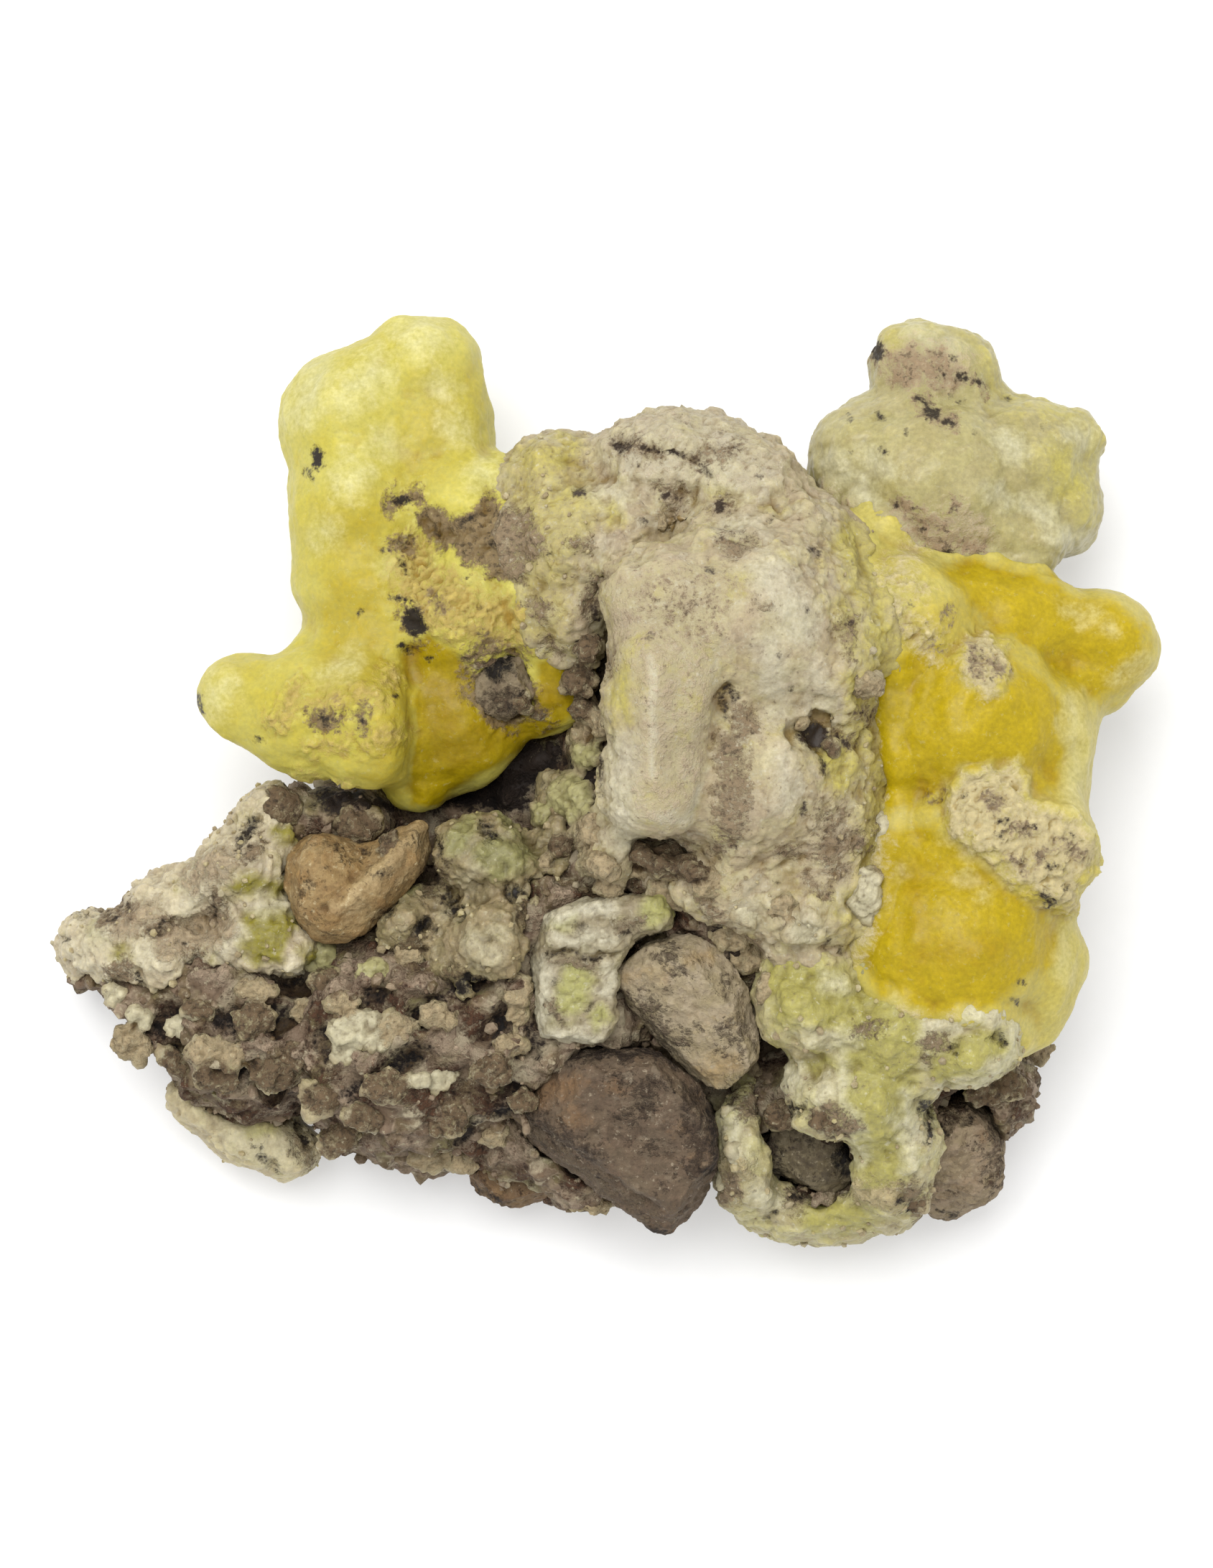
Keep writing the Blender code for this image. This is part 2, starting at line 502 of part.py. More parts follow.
def main():
    clear_scene()
    specimen = bpy.data.collections.new("brucite specimen")
    cutters = bpy.data.collections.new("cutters")
    for collection in (specimen, cutters):
        bpy.context.scene.collection.children.link(collection)

    yellow = finish("yellow brucite", (0.72, 0.60, 0.06), 0.45)
    pale = finish("pale brucite", (0.66, 0.64, 0.34), 0.5)
    cream = finish("cream crust", (0.62, 0.56, 0.41), 0.8)
    green = finish("pale green crust", (0.58, 0.60, 0.34), 0.7)
    olive = finish("olive crust", (0.36, 0.33, 0.20), 0.75)
    brown = finish("brown breccia", (0.17, 0.125, 0.085), 0.9)
    tan = finish("tan stone", (0.33, 0.22, 0.12), 0.85)
    grey = finish("pinkish grey stone", (0.36, 0.29, 0.22), 0.85)
    dark = finish("dark brown stone", (0.16, 0.115, 0.08), 0.85)

    stones = [
        stone("brown_block", BROWN_BLOCK, dark, specimen),
        grow("round_pebble", ROUND_PEBBLE, [], 0, CELL, 2, [(3.0, 0.6)], 110, tan, specimen),
        stone("grey_slab", GREY_SLAB, grey, specimen),
        stone("pale_block", PALE_BLOCK, cream, specimen),
        stone("corner_stone", CORNER_STONE, dark, specimen),
        stone("dark_stone", DARK_STONE, dark, specimen),
        stone("under_stone", UNDER_STONE, dark, specimen),
        stone("grey_inclusion", GREY_INCLUSION, dark, specimen),
    ]
    stone_room = [swollen(obj, cutters) for obj in stones]
    for place, obj in enumerate(stones):
        fit_round(obj, stone_room[:place])

    matrix = grow("matrix", MATRIX, ROCK_CHUNKS, 3, FINE_CELL, 1, [(4.0, 1.0)], 1200, brown, specimen)
    rock_room = [*stone_room, swollen(matrix, cutters)]
    fit_round(matrix, stone_room)

    bumps = [(5.0, 1.2), (2.2, 0.5)]
    crust = grow("cream_crust", CREAM_CRUST, SHOULDER_CHUNKS, 5, CELL, 4, bumps, 840, cream, specimen)
    hollow(crust, CREAM_PITS, cutters)
    crust_room = swollen(crust, cutters)
    fit_round(crust, rock_room)

    swells = [(6.0, 1.2), (2.4, 0.4)]
    left = grow("left_brucite", LEFT_BRUCITE, [], 0, CELL, 5, swells, 790, yellow, specimen)
    left_room = swollen(left, cutters)
    fit_round(left, [*rock_room, crust_room])

    right = grow("right_brucite", RIGHT_BRUCITE, [], 0, CELL, 5, swells, 690, yellow, specimen)
    right_room = swollen(right, cutters)
    fit_round(right, [*rock_room, crust_room])

    cluster = grow("pale_brucite", PALE_BRUCITE, [], 0, CELL, 4, bumps, 470, pale, specimen)
    fit_round(cluster, [*rock_room, crust_room, right_room])

    grit = [(3.0, 0.8)]
    grains = grow("green_crust", GREEN_CRUST, GREEN_CHUNKS, 7, FINE_CELL, 2, grit, 640, green, specimen)
    fit_round(grains, [*rock_room, crust_room, right_room])

    middle = grow("middle_crust", MIDDLE_CRUST, MIDDLE_CHUNKS, 11, FINE_CELL, 2, grit, 330, olive, specimen)
    middle_room = swollen(middle, cutters)
    fit_round(middle, [*rock_room, crust_room, left_room])

    wing = grow("wing_crust", WING_CRUST, WING_CHUNKS, 13, FINE_CELL, 2, grit, 380, cream, specimen)
    wing_room = swollen(wing, cutters)
    fit_round(wing, [*rock_room, left_room, middle_room])

    tongue = grow("tongue", TONGUE, [], 0, CELL, 3, grit, 110, green, specimen)
    fit_round(tongue, [*rock_room, wing_room])

    for obj in (crust, left, right, cluster, tongue, stones[1]):
        obj.data.shade_smooth()
    centre([*stones, matrix, crust, left, right, cluster, grains, middle, wing, tongue])


main()
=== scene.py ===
"""The looks of a brucite specimen on its breccia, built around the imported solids."""

import json  # noqa: E402
import math  # noqa: E402
import random  # noqa: E402

import bpy  # noqa: E402
import numpy as np  # noqa: E402
from mathutils import Euler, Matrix, Vector  # noqa: E402
from mathutils.bvhtree import BVHTree  # noqa: E402
from mathutils.kdtree import KDTree  # noqa: E402

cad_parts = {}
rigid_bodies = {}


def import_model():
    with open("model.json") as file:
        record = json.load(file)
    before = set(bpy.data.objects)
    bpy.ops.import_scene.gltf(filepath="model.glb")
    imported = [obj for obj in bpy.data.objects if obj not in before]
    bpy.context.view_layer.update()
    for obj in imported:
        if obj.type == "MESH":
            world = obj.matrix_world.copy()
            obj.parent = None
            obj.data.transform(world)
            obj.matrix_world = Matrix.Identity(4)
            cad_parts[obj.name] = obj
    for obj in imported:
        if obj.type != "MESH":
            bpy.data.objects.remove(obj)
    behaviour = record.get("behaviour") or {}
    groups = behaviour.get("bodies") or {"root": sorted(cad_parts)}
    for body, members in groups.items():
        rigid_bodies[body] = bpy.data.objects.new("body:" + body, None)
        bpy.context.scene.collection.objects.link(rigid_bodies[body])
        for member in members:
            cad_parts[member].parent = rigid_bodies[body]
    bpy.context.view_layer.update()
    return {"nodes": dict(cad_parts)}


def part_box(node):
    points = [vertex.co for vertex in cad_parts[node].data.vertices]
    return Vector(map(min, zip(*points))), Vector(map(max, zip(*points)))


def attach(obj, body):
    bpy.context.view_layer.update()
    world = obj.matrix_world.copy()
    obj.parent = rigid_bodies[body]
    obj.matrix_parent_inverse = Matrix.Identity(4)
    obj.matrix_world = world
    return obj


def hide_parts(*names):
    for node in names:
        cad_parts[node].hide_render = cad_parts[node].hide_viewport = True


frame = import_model()

# The matrix is the breccia that everything sits on: brown, crumbly rock of angular grains, with open pockets.
# It is a broken natural surface, so its solid is meshed finely and given packed grains in relief.
MM = 0.001
VIEW_SHIFT = np.array((0.04, 0.13))   # marks are measured from the middle of the view, which lies here, mm


def skin_of(node, name, cell, rounds, swell):
    """Copies a CAD node with an even mesh of cell mm, its facets smoothed away in some rounds, swollen by swell mm."""
    piece = bpy.data.objects.new(name, frame["nodes"][node].data.copy())
    bpy.context.scene.collection.objects.link(piece)
    bpy.ops.object.select_all(action="DESELECT")
    piece.select_set(True)
    bpy.context.view_layer.objects.active = piece
    bpy.ops.object.mode_set(mode="EDIT")
    bpy.ops.mesh.select_all(action="SELECT")
    bpy.ops.mesh.remove_doubles(threshold=0.00001)
    bpy.ops.object.mode_set(mode="OBJECT")
    piece["stands_for"] = node
    piece.data.materials.clear()
    while piece.data.uv_layers:
        piece.data.uv_layers.remove(piece.data.uv_layers[0])
    even = piece.modifiers.new("even mesh", "REMESH")
    even.mode = "VOXEL"
    even.voxel_size = cell * MM
    worn = piece.modifiers.new("worn", "SMOOTH")
    worn.iterations = rounds
    worn.factor = 0.5
    finer = piece.modifiers.new("finer", "SUBSURF")
    finer.levels = finer.render_levels = 1
    swollen = piece.modifiers.new("swollen", "DISPLACE")
    swollen.strength = swell * MM
    swollen.mid_level = 0.0
    apply_all(piece)
    bpy.ops.object.shade_smooth()
    return piece


node_trees = {}   # the solids' surfaces, taken before any finished piece stands in for one
for node_name, solid in frame["nodes"].items():
    corners = [vertex.co.copy() for vertex in solid.data.vertices]
    node_trees[node_name] = BVHTree.FromPolygons(corners, [tuple(face.vertices) for face in solid.data.polygons])


def apply_all(piece):
    """Applies each modifier of a piece, in order."""
    bpy.ops.object.select_all(action="DESELECT")
    piece.select_set(True)
    bpy.context.view_layer.objects.active = piece
    for name in [modifier.name for modifier in piece.modifiers]:
        bpy.ops.object.modifier_apply(modifier=name)


def shape_of(piece):
    """Gives the places (mm) and the facings of a piece's vertices."""
    count = len(piece.data.vertices)
    places = np.empty(count * 3)
    facings = np.empty(count * 3)
    piece.data.vertices.foreach_get("co", places)
    piece.data.vertices.foreach_get("normal", facings)
    return places.reshape(-1, 3) / MM, facings.reshape(-1, 3)


def put_back(piece, places):
    """Writes changed places (mm) to a piece and keeps it above the surface it lies on."""
    places[:, 2] = np.maximum(places[:, 2], 0.0)
    piece.data.vertices.foreach_set("co", (places * MM).ravel())
    piece.data.update()


def waver(places, size, seed):
    """Slow waves from -1 to 1, about size mm long, the same on every run."""
    draw = np.random.default_rng(seed)
    total = np.zeros(len(places))
    for _ in range(7):
        way = draw.normal(size=places.shape[1])
        way *= 2 * math.pi / (size * draw.uniform(0.6, 1.5)) / np.linalg.norm(way)
        total += np.sin(places @ way + draw.uniform(0, 2 * math.pi))
    return total / 3.5


def depth_in(flat, mark):
    """How far, in mm, each point lies inside a mark: a path with a width, or with width 0 a closed area."""
    width, *line = mark
    line = np.array(line, float)
    closed = width == 0
    ends = np.roll(line, -1, axis=0) if closed else line[1:]
    starts = line if closed else line[:-1]
    if len(line) == 1:
        starts, ends = line, line
    nearest = np.full(len(flat), 1e9)
    inside = np.zeros(len(flat), bool)
    for start, end in zip(starts, ends):
        along = end - start
        share = np.clip((flat - start) @ along / max(along @ along, 1e-9), 0, 1)
        gap = flat - start - share[:, None] * along
        nearest = np.minimum(nearest, np.hypot(gap[:, 0], gap[:, 1]))
        if closed:
            crosses = (start[1] > flat[:, 1]) != (end[1] > flat[:, 1])
            rise = end[1] - start[1] if end[1] != start[1] else 1e-9
            inside ^= crosses & (flat[:, 0] < start[0] + (flat[:, 1] - start[1]) * along[0] / rise)
    return np.where(inside, nearest, -nearest) if closed else width / 2 - nearest


def cover_of(places, facings, marks, soft, ragged):
    """How fully the marks cover each vertex that faces up: 0.5 on an edge, over soft mm on each side of it."""
    flat = places[:, :2] - VIEW_SHIFT
    flat = flat + ragged * np.stack([waver(places, 2.2, 11), waver(places, 2.2, 12)], axis=1)
    cover = np.zeros(len(places))
    up = facings[:, 2] > -0.15
    for mark in marks:
        corners = np.array(mark[1:], float)
        margin = mark[0] / 2 + soft
        near = up & np.all(flat > corners.min(0) - margin, axis=1) & np.all(flat < corners.max(0) + margin, axis=1)
        if near.any():
            depth = depth_in(flat[near], mark)
            cover[near] = np.maximum(cover[near], np.clip(0.5 + depth / (2 * soft), 0, 1))
    return cover


def paint(piece, field, marks, strength=1.0, soft=0.5, ragged=0.25):
    """Adds marks to one of a piece's colour fields."""
    places, facings = shape_of(piece)
    cover = cover_of(places, facings, marks, soft, ragged) * strength
    store(piece, field, np.maximum(cover, read(piece, field)))


def read(piece, field):
    """Gives a piece's colour field, zero all over where there is none yet."""
    values = np.zeros(len(piece.data.vertices))
    if field in piece.data.attributes:
        piece.data.attributes[field].data.foreach_get("value", values)
    return values


def store(piece, field, values):
    """Writes a colour field on a piece's vertices."""
    layer = piece.data.attributes.get(field) or piece.data.attributes.new(field, "FLOAT", "POINT")
    layer.data.foreach_set("value", values)


def press(piece, marks, height, soft=0.5, ragged=0.15):
    """Raises (or sinks, where height is below zero) the marks by height mm along the surface's facing."""
    places, facings = shape_of(piece)
    cover = cover_of(places, facings, marks, soft, ragged)
    cover = cover * cover * (3 - 2 * cover)
    put_back(piece, places + facings * (height * cover)[:, None])


def relief(piece, size, height, kind="CLOUDS", within=None, **settings):
    """Lays a procedural relief over a piece: features of size mm, height mm from lowest to highest."""
    pattern = bpy.data.textures.new(f"{kind.lower()} relief", kind)
    pattern.noise_scale = size * MM
    for key, value in settings.items():
        setattr(pattern, key, value)
    raised = piece.modifiers.new("relief", "DISPLACE")
    raised.texture = pattern
    raised.strength = height * MM
    raised.mid_level = 0.5
    if within is not None:
        group = piece.vertex_groups.new(name="within")
        for level in range(1, 11):
            members = np.flatnonzero(np.round(within * 10) == level)
            group.add(members.tolist(), level / 10, "REPLACE")
        raised.vertex_group = "within"
    apply_all(piece)
    if within is not None:
        piece.vertex_groups.remove(piece.vertex_groups["within"])
    places, _ = shape_of(piece)
    put_back(piece, places)


def pack_grains(piece, size, height, seed, tilt=0.3, within=1.0, toned=True):
    """Breaks a surface into packed grains about size mm across, each with its own height, tilt and tone."""
    places, facings = shape_of(piece)
    draw = np.random.default_rng(seed)
    area = sum(face.area for face in piece.data.polygons) / MM ** 2
    count = int(area / (0.8 * size * size))
    middles = places[draw.choice(len(places), count, replace=False)]
    near_grain = KDTree(count)
    for index, middle in enumerate(middles):
        near_grain.insert(middle, index)
    near_grain.balance()
    moved = places + 0.22 * size * np.stack([waver(places, size * 1.3, seed + axis) for axis in range(3)], axis=1)
    found = [near_grain.find_n(place, 2) for place in moved]
    own = np.array([pair[0][1] for pair in found])
    dome = np.array([pair[1][2] - pair[0][2] for pair in found]) / (0.5 * size)
    dome = np.clip(dome, 0, 1) ** 0.7
    lean = draw.normal(size=(count, 3)) * tilt
    lift = dome * height * draw.uniform(0.35, 1.0, count)[own] - 0.5 * height
    lift += dome * np.einsum("ij,ij->i", places - middles[own], lean[own]) * min(height / size * 1.5, 1.0)
    put_back(piece, places + facings * (lift * within)[:, None])
    if toned:
        store(piece, "tone", draw.random(count)[own])
        # The gap field is painted shade: find_hollows darkens the crevices between the grains by it.
        store(piece, "gap", (1 - dome) * within)


def wear(piece, rounds):
    """Wears a surface's sharpest points off."""
    worn = piece.modifiers.new("worn", "SMOOTH")
    worn.iterations = rounds
    worn.factor = 0.5
    apply_all(piece)


def find_hollows(piece, rounds, depth):
    """Stores how far each vertex lies below the surface around it, as painted shade: 0.5 is level with it, 1 is deep
    in a hollow and darkened most. Gaps between grains count as hollows, and places near seams less.
    """
    places, facings = shape_of(piece)
    pairs = np.empty(len(piece.data.edges) * 2, np.int32)
    piece.data.edges.foreach_get("vertices", pairs)
    first, second = pairs.reshape(-1, 2).T
    count = len(places)
    links = np.bincount(first, minlength=count) + np.bincount(second, minlength=count)
    level = places.copy()
    for _ in range(rounds):
        for axis in range(3):
            total = np.bincount(first, level[second, axis], count) + np.bincount(second, level[first, axis], count)
            level[:, axis] = total / np.maximum(links, 1)
    below = np.einsum("ij,ij->i", level - places, facings)
    hollow_shade = np.clip(0.5 + below / (2 * depth), 0, 1)
    hollow_shade = np.maximum(hollow_shade, 0.8 * read(piece, "gap"))
    store(piece, "hollow_shade", np.minimum(hollow_shade, 1 - 0.6 * np.clip(1.5 * read(piece, "seam"), 0, 1)))


STUDIO = 1.4   # how much brighter than white paper the studio light makes a surface


def shade(code):
    """Turns a colour as it looks in the studio, RRGGBB, into the linear colour of the surface."""
    parts = [int(code[i:i + 2], 16) / 255 for i in (0, 2, 4)]
    parts = [part / 12.92 if part <= 0.04045 else ((part + 0.055) / 1.055) ** 2.4 for part in parts]
    return tuple(min(part / STUDIO, 1.0) for part in parts) + (1.0,)


def node(tree, kind, *feeds, settings=None, **named):
    """Adds a shader node, fed by sockets or values in the order of its inputs or by their names."""
    made = tree.nodes.new("ShaderNode" + kind)
    for key, value in (settings or {}).items():
        setattr(made, key, value)
    pairs = [(made.inputs[i], feed) for i, feed in enumerate(feeds)]
    pairs += [(made.inputs[key.replace("_", " ")], feed) for key, feed in named.items()]
    for socket, feed in pairs:
        if isinstance(feed, bpy.types.NodeSocket):
            tree.links.new(feed, socket)
        else:
            socket.default_value = feed
    return made


def sum_of(tree, operation, *feeds):
    """Adds a Math node and gives its result."""
    return node(tree, "Math", *feeds, settings={"operation": operation}).outputs[0]


def tinted(tree, share, under, over, mode="MIX"):
    """Adds a colour mix and gives its result."""
    made = tree.nodes.new("ShaderNodeMix")
    made.data_type = "RGBA"
    made.blend_type = mode
    for index, feed in ((0, share), (6, under), (7, over)):
        if isinstance(feed, bpy.types.NodeSocket):
            tree.links.new(feed, made.inputs[index])
        else:
            made.inputs[index].default_value = feed
    return made.outputs[2]


def spread(tree, value, low, high, out_low=0.0, out_high=1.0):
    """Adds a clamped range and gives its result."""
    return node(tree, "MapRange", value, low, high, out_low, out_high, settings={"clamp": True}).outputs[0]


def surface_group():
    """Builds the shader group that every mineral surface uses: a mottled, grainy base, the given colour fields
    with ragged edges, fine specks, and painted shade: darker hollows and gaps, lighter raised places. It puts out a
    colour, a roughness and a height."""
    tree = bpy.data.node_groups.new("mineral surface", "ShaderNodeTree")
    for name in ("Base", "Mottle", "Deep", "Pale", "Crust", "Stain", "Dark", "Hollow Shade"):
        tree.interface.new_socket(name, in_out="INPUT", socket_type="NodeSocketColor")
    for name in ("Mottle Scale", "Grains", "Specks", "Flecks", "Smooth", "Rough"):
        tree.interface.new_socket(name, in_out="INPUT", socket_type="NodeSocketFloat")
    for name, kind in (("Color", "Color"), ("Roughness", "Float"), ("Height", "Float")):
        tree.interface.new_socket(name, in_out="OUTPUT", socket_type="NodeSocket" + kind)
    given = tree.nodes.new("NodeGroupInput").outputs
    place = node(tree, "TexCoord").outputs["Object"]
    noise = {}
    for name, scale, detail, rough in (("broad", given["Mottle Scale"], 5.0, 0.6), ("mid", 1150.0, 5.0, 0.68),
                                       ("fine", 3000.0, 3.0, 0.6), ("speck", 1900.0, 4.0, 0.7),
                                       ("patch", 330.0, 6.0, 0.65), ("small", 760.0, 5.0, 0.7)):
        noise[name] = node(tree, "TexNoise", Vector=place, Scale=scale, Detail=detail, Roughness=rough).outputs[0]
    colour = tinted(tree, spread(tree, noise["broad"], 0.38, 0.62), given["Base"], given["Mottle"])
    for name, scale, low, high in (("Deep", "patch", 0.45, 0.30), ("Crust", "patch", 0.50, 0.66),
                                   ("Pale", "small", 0.56, 0.72), ("Stain", "small", 0.46, 0.28)):
        share = sum_of(tree, "MULTIPLY", spread(tree, noise[scale], low, high), given["Grains"])
        colour = tinted(tree, share, colour, given[name])
    tone = node(tree, "Attribute", settings={"attribute_name": "tone"}).outputs["Fac"]
    for name, low in (("Crust", 0.48), ("Stain", 0.70), ("Pale", 0.90)):
        share = sum_of(tree, "MULTIPLY", spread(tree, tone, low, low + 0.04, 0.0, 0.5), given["Grains"])
        colour = tinted(tree, share, colour, given[name])
    edges = {"deep": (0.7, 0.6, 0.3), "pale": (1.0, 1.0, 0.5), "crust": (0.6, 1.7, 1.2),
             "stain": (0.55, 2.0, 1.8), "dark": (0.4, 1.3, 1.2)}
    centred = {name: sum_of(tree, "SUBTRACT", noise[name], 0.5) for name in ("mid", "fine")}
    masks = {}
    for field, (width, broad_break, fine_break) in edges.items():
        value = node(tree, "Attribute", settings={"attribute_name": field}).outputs["Fac"]
        broken = sum_of(tree, "MULTIPLY_ADD", centred["mid"], broad_break, value)
        broken = sum_of(tree, "MULTIPLY_ADD", centred["fine"], fine_break, broken)
        mask = spread(tree, broken, 0.5 - width / 2, 0.5 + width / 2)
        masks[field] = sum_of(tree, "MULTIPLY", mask, spread(tree, value, 0.0, 0.15))
        if field == "dark":
            speckled = sum_of(tree, "MULTIPLY", spread(tree, noise["speck"], 0.55, 0.66), given["Specks"])
            matt = sum_of(tree, "MAXIMUM", masks["crust"], masks["stain"])
            speckled = sum_of(tree, "MULTIPLY", speckled, spread(tree, matt, 0.0, 1.0, 0.5, 1.0))
            colour = tinted(tree, speckled, colour, given["Stain"])
            points = sum_of(tree, "MULTIPLY", spread(tree, noise["speck"], 0.64, 0.70), given["Specks"])
            colour = tinted(tree, sum_of(tree, "MULTIPLY", points, 0.6), colour, given["Dark"])
            bright = sum_of(tree, "MULTIPLY", spread(tree, noise["speck"], 0.40, 0.33), given["Flecks"])
            colour = tinted(tree, bright, colour, given["Pale"])
            blots = sum_of(tree, "MULTIPLY", spread(tree, noise["speck"], 0.54, 0.60), masks["stain"])
            colour = tinted(tree, sum_of(tree, "MULTIPLY", blots, 0.55), colour, given["Dark"])
        colour = tinted(tree, masks[field], colour, given[field.title()])
    grain = sum_of(tree, "MULTIPLY", spread(tree, noise["fine"], 0.3, 0.7, 0.86, 1.12),
                   spread(tree, noise["mid"], 0.3, 0.7, 0.88, 1.1))
    colour = node(tree, "HueSaturation", Value=grain, Color=colour).outputs[0]
    # Painted shade: the surface darkens towards the Hollow colour in hollows and between grains, and places that stand
    # out are painted a little lighter.
    sunk_shade = node(tree, "Attribute", settings={"attribute_name": "hollow_shade"}).outputs["Fac"]
    sunk_shade = sum_of(tree, "MULTIPLY_ADD", centred["mid"], 0.5, sunk_shade)
    darker = tinted(tree, 1.0, colour, given["Hollow Shade"], "MULTIPLY")
    colour = tinted(tree, spread(tree, sunk_shade, 0.55, 0.95), colour, darker)
    colour = node(tree, "HueSaturation", Value=spread(tree, sunk_shade, 0.1, 0.45, 1.12, 1.0), Color=colour).outputs[0]
    roughness = spread(tree, matt, 0.0, 1.0, given["Smooth"], given["Rough"])
    height = sum_of(tree, "MULTIPLY_ADD", noise["mid"], 1.0, sum_of(tree, "MULTIPLY", noise["fine"], 0.6))
    height = sum_of(tree, "MULTIPLY", height, spread(tree, matt, 0.0, 1.0, 0.6, 1.5))
    height = sum_of(tree, "SUBTRACT", height, sum_of(tree, "MULTIPLY", masks["dark"], 0.8))
    leaving = tree.nodes.new("NodeGroupOutput").inputs
    tree.links.new(colour, leaving["Color"])
    tree.links.new(roughness, leaving["Roughness"])
    tree.links.new(height, leaving["Height"])
    return tree


mineral_surface = surface_group()


def mineral(name, base, mottle, deep, pale, crust, stain, dark, hollow_shade, mottle_scale, grains, specks, flecks, smooth,
            rough=0.85, relief_height=0.12, glow=0.0, glow_reach=1.0):
    """Builds the material of one mineral surface; glow is how far light gets into it, over glow_reach mm."""
    material = bpy.data.materials.new(name)
    material.use_nodes = True
    tree = material.node_tree
    shader = tree.nodes["Principled BSDF"]
    look = tree.nodes.new("ShaderNodeGroup")
    look.node_tree = mineral_surface
    colours = {"Base": base, "Mottle": mottle, "Deep": deep, "Pale": pale, "Crust": crust, "Stain": stain,
               "Dark": dark}
    for socket, code in colours.items():
        look.inputs[socket].default_value = shade(code)
    # The hollow colour is the colour of the painted shade, which darkens the surface by multiplying in hollows.
    depth = shade(hollow_shade)
    look.inputs["Hollow Shade"].default_value = tuple(part * STUDIO for part in depth[:3]) + (1.0,)
    numbers = {"Mottle Scale": mottle_scale, "Grains": grains, "Specks": specks, "Flecks": flecks, "Smooth": smooth,
               "Rough": rough}
    for socket, value in numbers.items():
        look.inputs[socket].default_value = value
    bump = node(tree, "Bump", Strength=0.9, Distance=relief_height * MM, Height=look.outputs["Height"])
    tree.links.new(look.outputs["Color"], shader.inputs["Base Color"])
    tree.links.new(look.outputs["Roughness"], shader.inputs["Roughness"])
    tree.links.new(bump.outputs["Normal"], shader.inputs["Normal"])
    shader.inputs["IOR"].default_value = 1.57
    shader.inputs["Specular IOR Level"].default_value = 0.22
    shader.inputs["Subsurface Weight"].default_value = glow
    shader.inputs["Subsurface Radius"].default_value = (1.0, 0.9, 0.45)
    shader.inputs["Subsurface Scale"].default_value = glow_reach * MM
    return material


def dress(piece, nodes, material):
    """Lets a finished piece stand for its CAD nodes, with its material."""
    piece.data.materials.append(material)
    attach(piece, "root")
    if nodes:
        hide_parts(*nodes)


# Marks are paths of points with a width in mm, or closed areas where the width is 0. PITS are open pockets between
# the grains, sunk in and painted dark as painted shade.
PITS = [
    (1.6, (-13.9, -10.9), (-13, -10.5)), (1.4, (-17.6, -15.8), (-16.3, -15.2)), (2.2, (-10.6, -15), (-9.4, -14.4)),
    (1.8, (-8, -18), (-7, -17)), (1.3, (-20.4, -18), (-20.2, -19.6)), (1.8, (-24, -22.2), (-23, -21.8)),
    (1.4, (-22.4, -24.9), (-21.7, -24.2)), (1.4, (-10.6, -25.9), (-9.6, -25.2)),
    (1.6, (-32.4, -17.8), (-31.6, -17.2)), (1.4, (-31.8, -19.9), (-31.2, -19.4)),
    (2.4, (-27.6, -17.4), (-24, -17.2)), (2, (-15.4, -20.8), (-13.6, -19.8)), (1.6, (-18.6, -22.2), (-17, -21.8)),
    (1.8, (-7.4, -23.6), (-6.4, -22.4)), (1.6, (-27.6, -21.6), (-26, -21)), (1.6, (-13.2, -16.6), (-12.2, -16)),
    (1.4, (-5.8, -19.8), (-5.2, -17.6)), (1.2, (-23.8, -14.8), (-21.4, -14.4)),
]
# The dark hollow below the left growth; the matrix is painted dark there, as painted shade.
DARK_HOLLOW = (0, (-13.4, -2.2), (-12.4, -0.6), (-10, 1.3), (-7, 2.2), (-6, 3.4), (-4.2, 2.8), (-3, 2.2), (-3.2, 0.2),
               (-5.2, -0.2), (-5.2, -2.4), (-10, -2.3))
matrix = skin_of("matrix", "breccia_matrix", 0.72, 4, swell=0.2)
places, facings = shape_of(matrix)
BREAK = 0.92                     # the share that a break takes off what stands over it
BROKEN_EDGE = (-36.1, -15.4)     # the lower left edge is broken off here, along the facing below
out = np.array((-0.79, -0.61))
over = (places[:, :2] - VIEW_SHIFT - BROKEN_EDGE) @ out
over = np.clip(over, 0, None) * np.clip((-14.6 - places[:, 1]) / 1.4, 0, 1)
places[:, :2] -= BREAK * over[:, None] * out
put_back(matrix, places)
press(matrix, PITS, -1.2, soft=0.8, ragged=0.6)
relief(matrix, 4.5, 1.6, noise_depth=3)
pack_grains(matrix, 1.7, 0.9, 21, tilt=0.45)
pack_grains(matrix, 0.9, 0.3, 22, tilt=0.3, toned=False)
relief(matrix, 0.7, 0.4, noise_depth=2)
wear(matrix, 3)
find_hollows(matrix, 30, 0.7)
places, _ = shape_of(matrix)
store(matrix, "stain", np.clip(waver(places, 4.0, 4) * 0.6 + 0.15, 0, 0.7))
store(matrix, "deep", np.clip(waver(places, 5.0, 5) * 0.6 - 0.1, 0, 0.6))
store(matrix, "crust", np.clip(waver(places, 5.0, 3) * 0.7 + 0.1, 0, 0.7))
store(matrix, "pale", np.clip(waver(places, 3.0, 9) * 0.7 - 0.15, 0, 0.5))
# Painted shade: the pits, the dark hollow and the crevices beside the growths are painted dark.
paint(matrix, "dark", PITS, strength=0.7, soft=0.7, ragged=0.5)
paint(matrix, "dark", [DARK_HOLLOW, (1.4, (-20.4, -1.2), (-16, -1.8)), (1.2, (-26.6, -4.6), (-25.4, -3)),
                       (2, (-1.4, 8.6), (-1.2, -2.4)), (1.4, (8, -11), (9.4, -12.4))], soft=0.9, ragged=0.4)
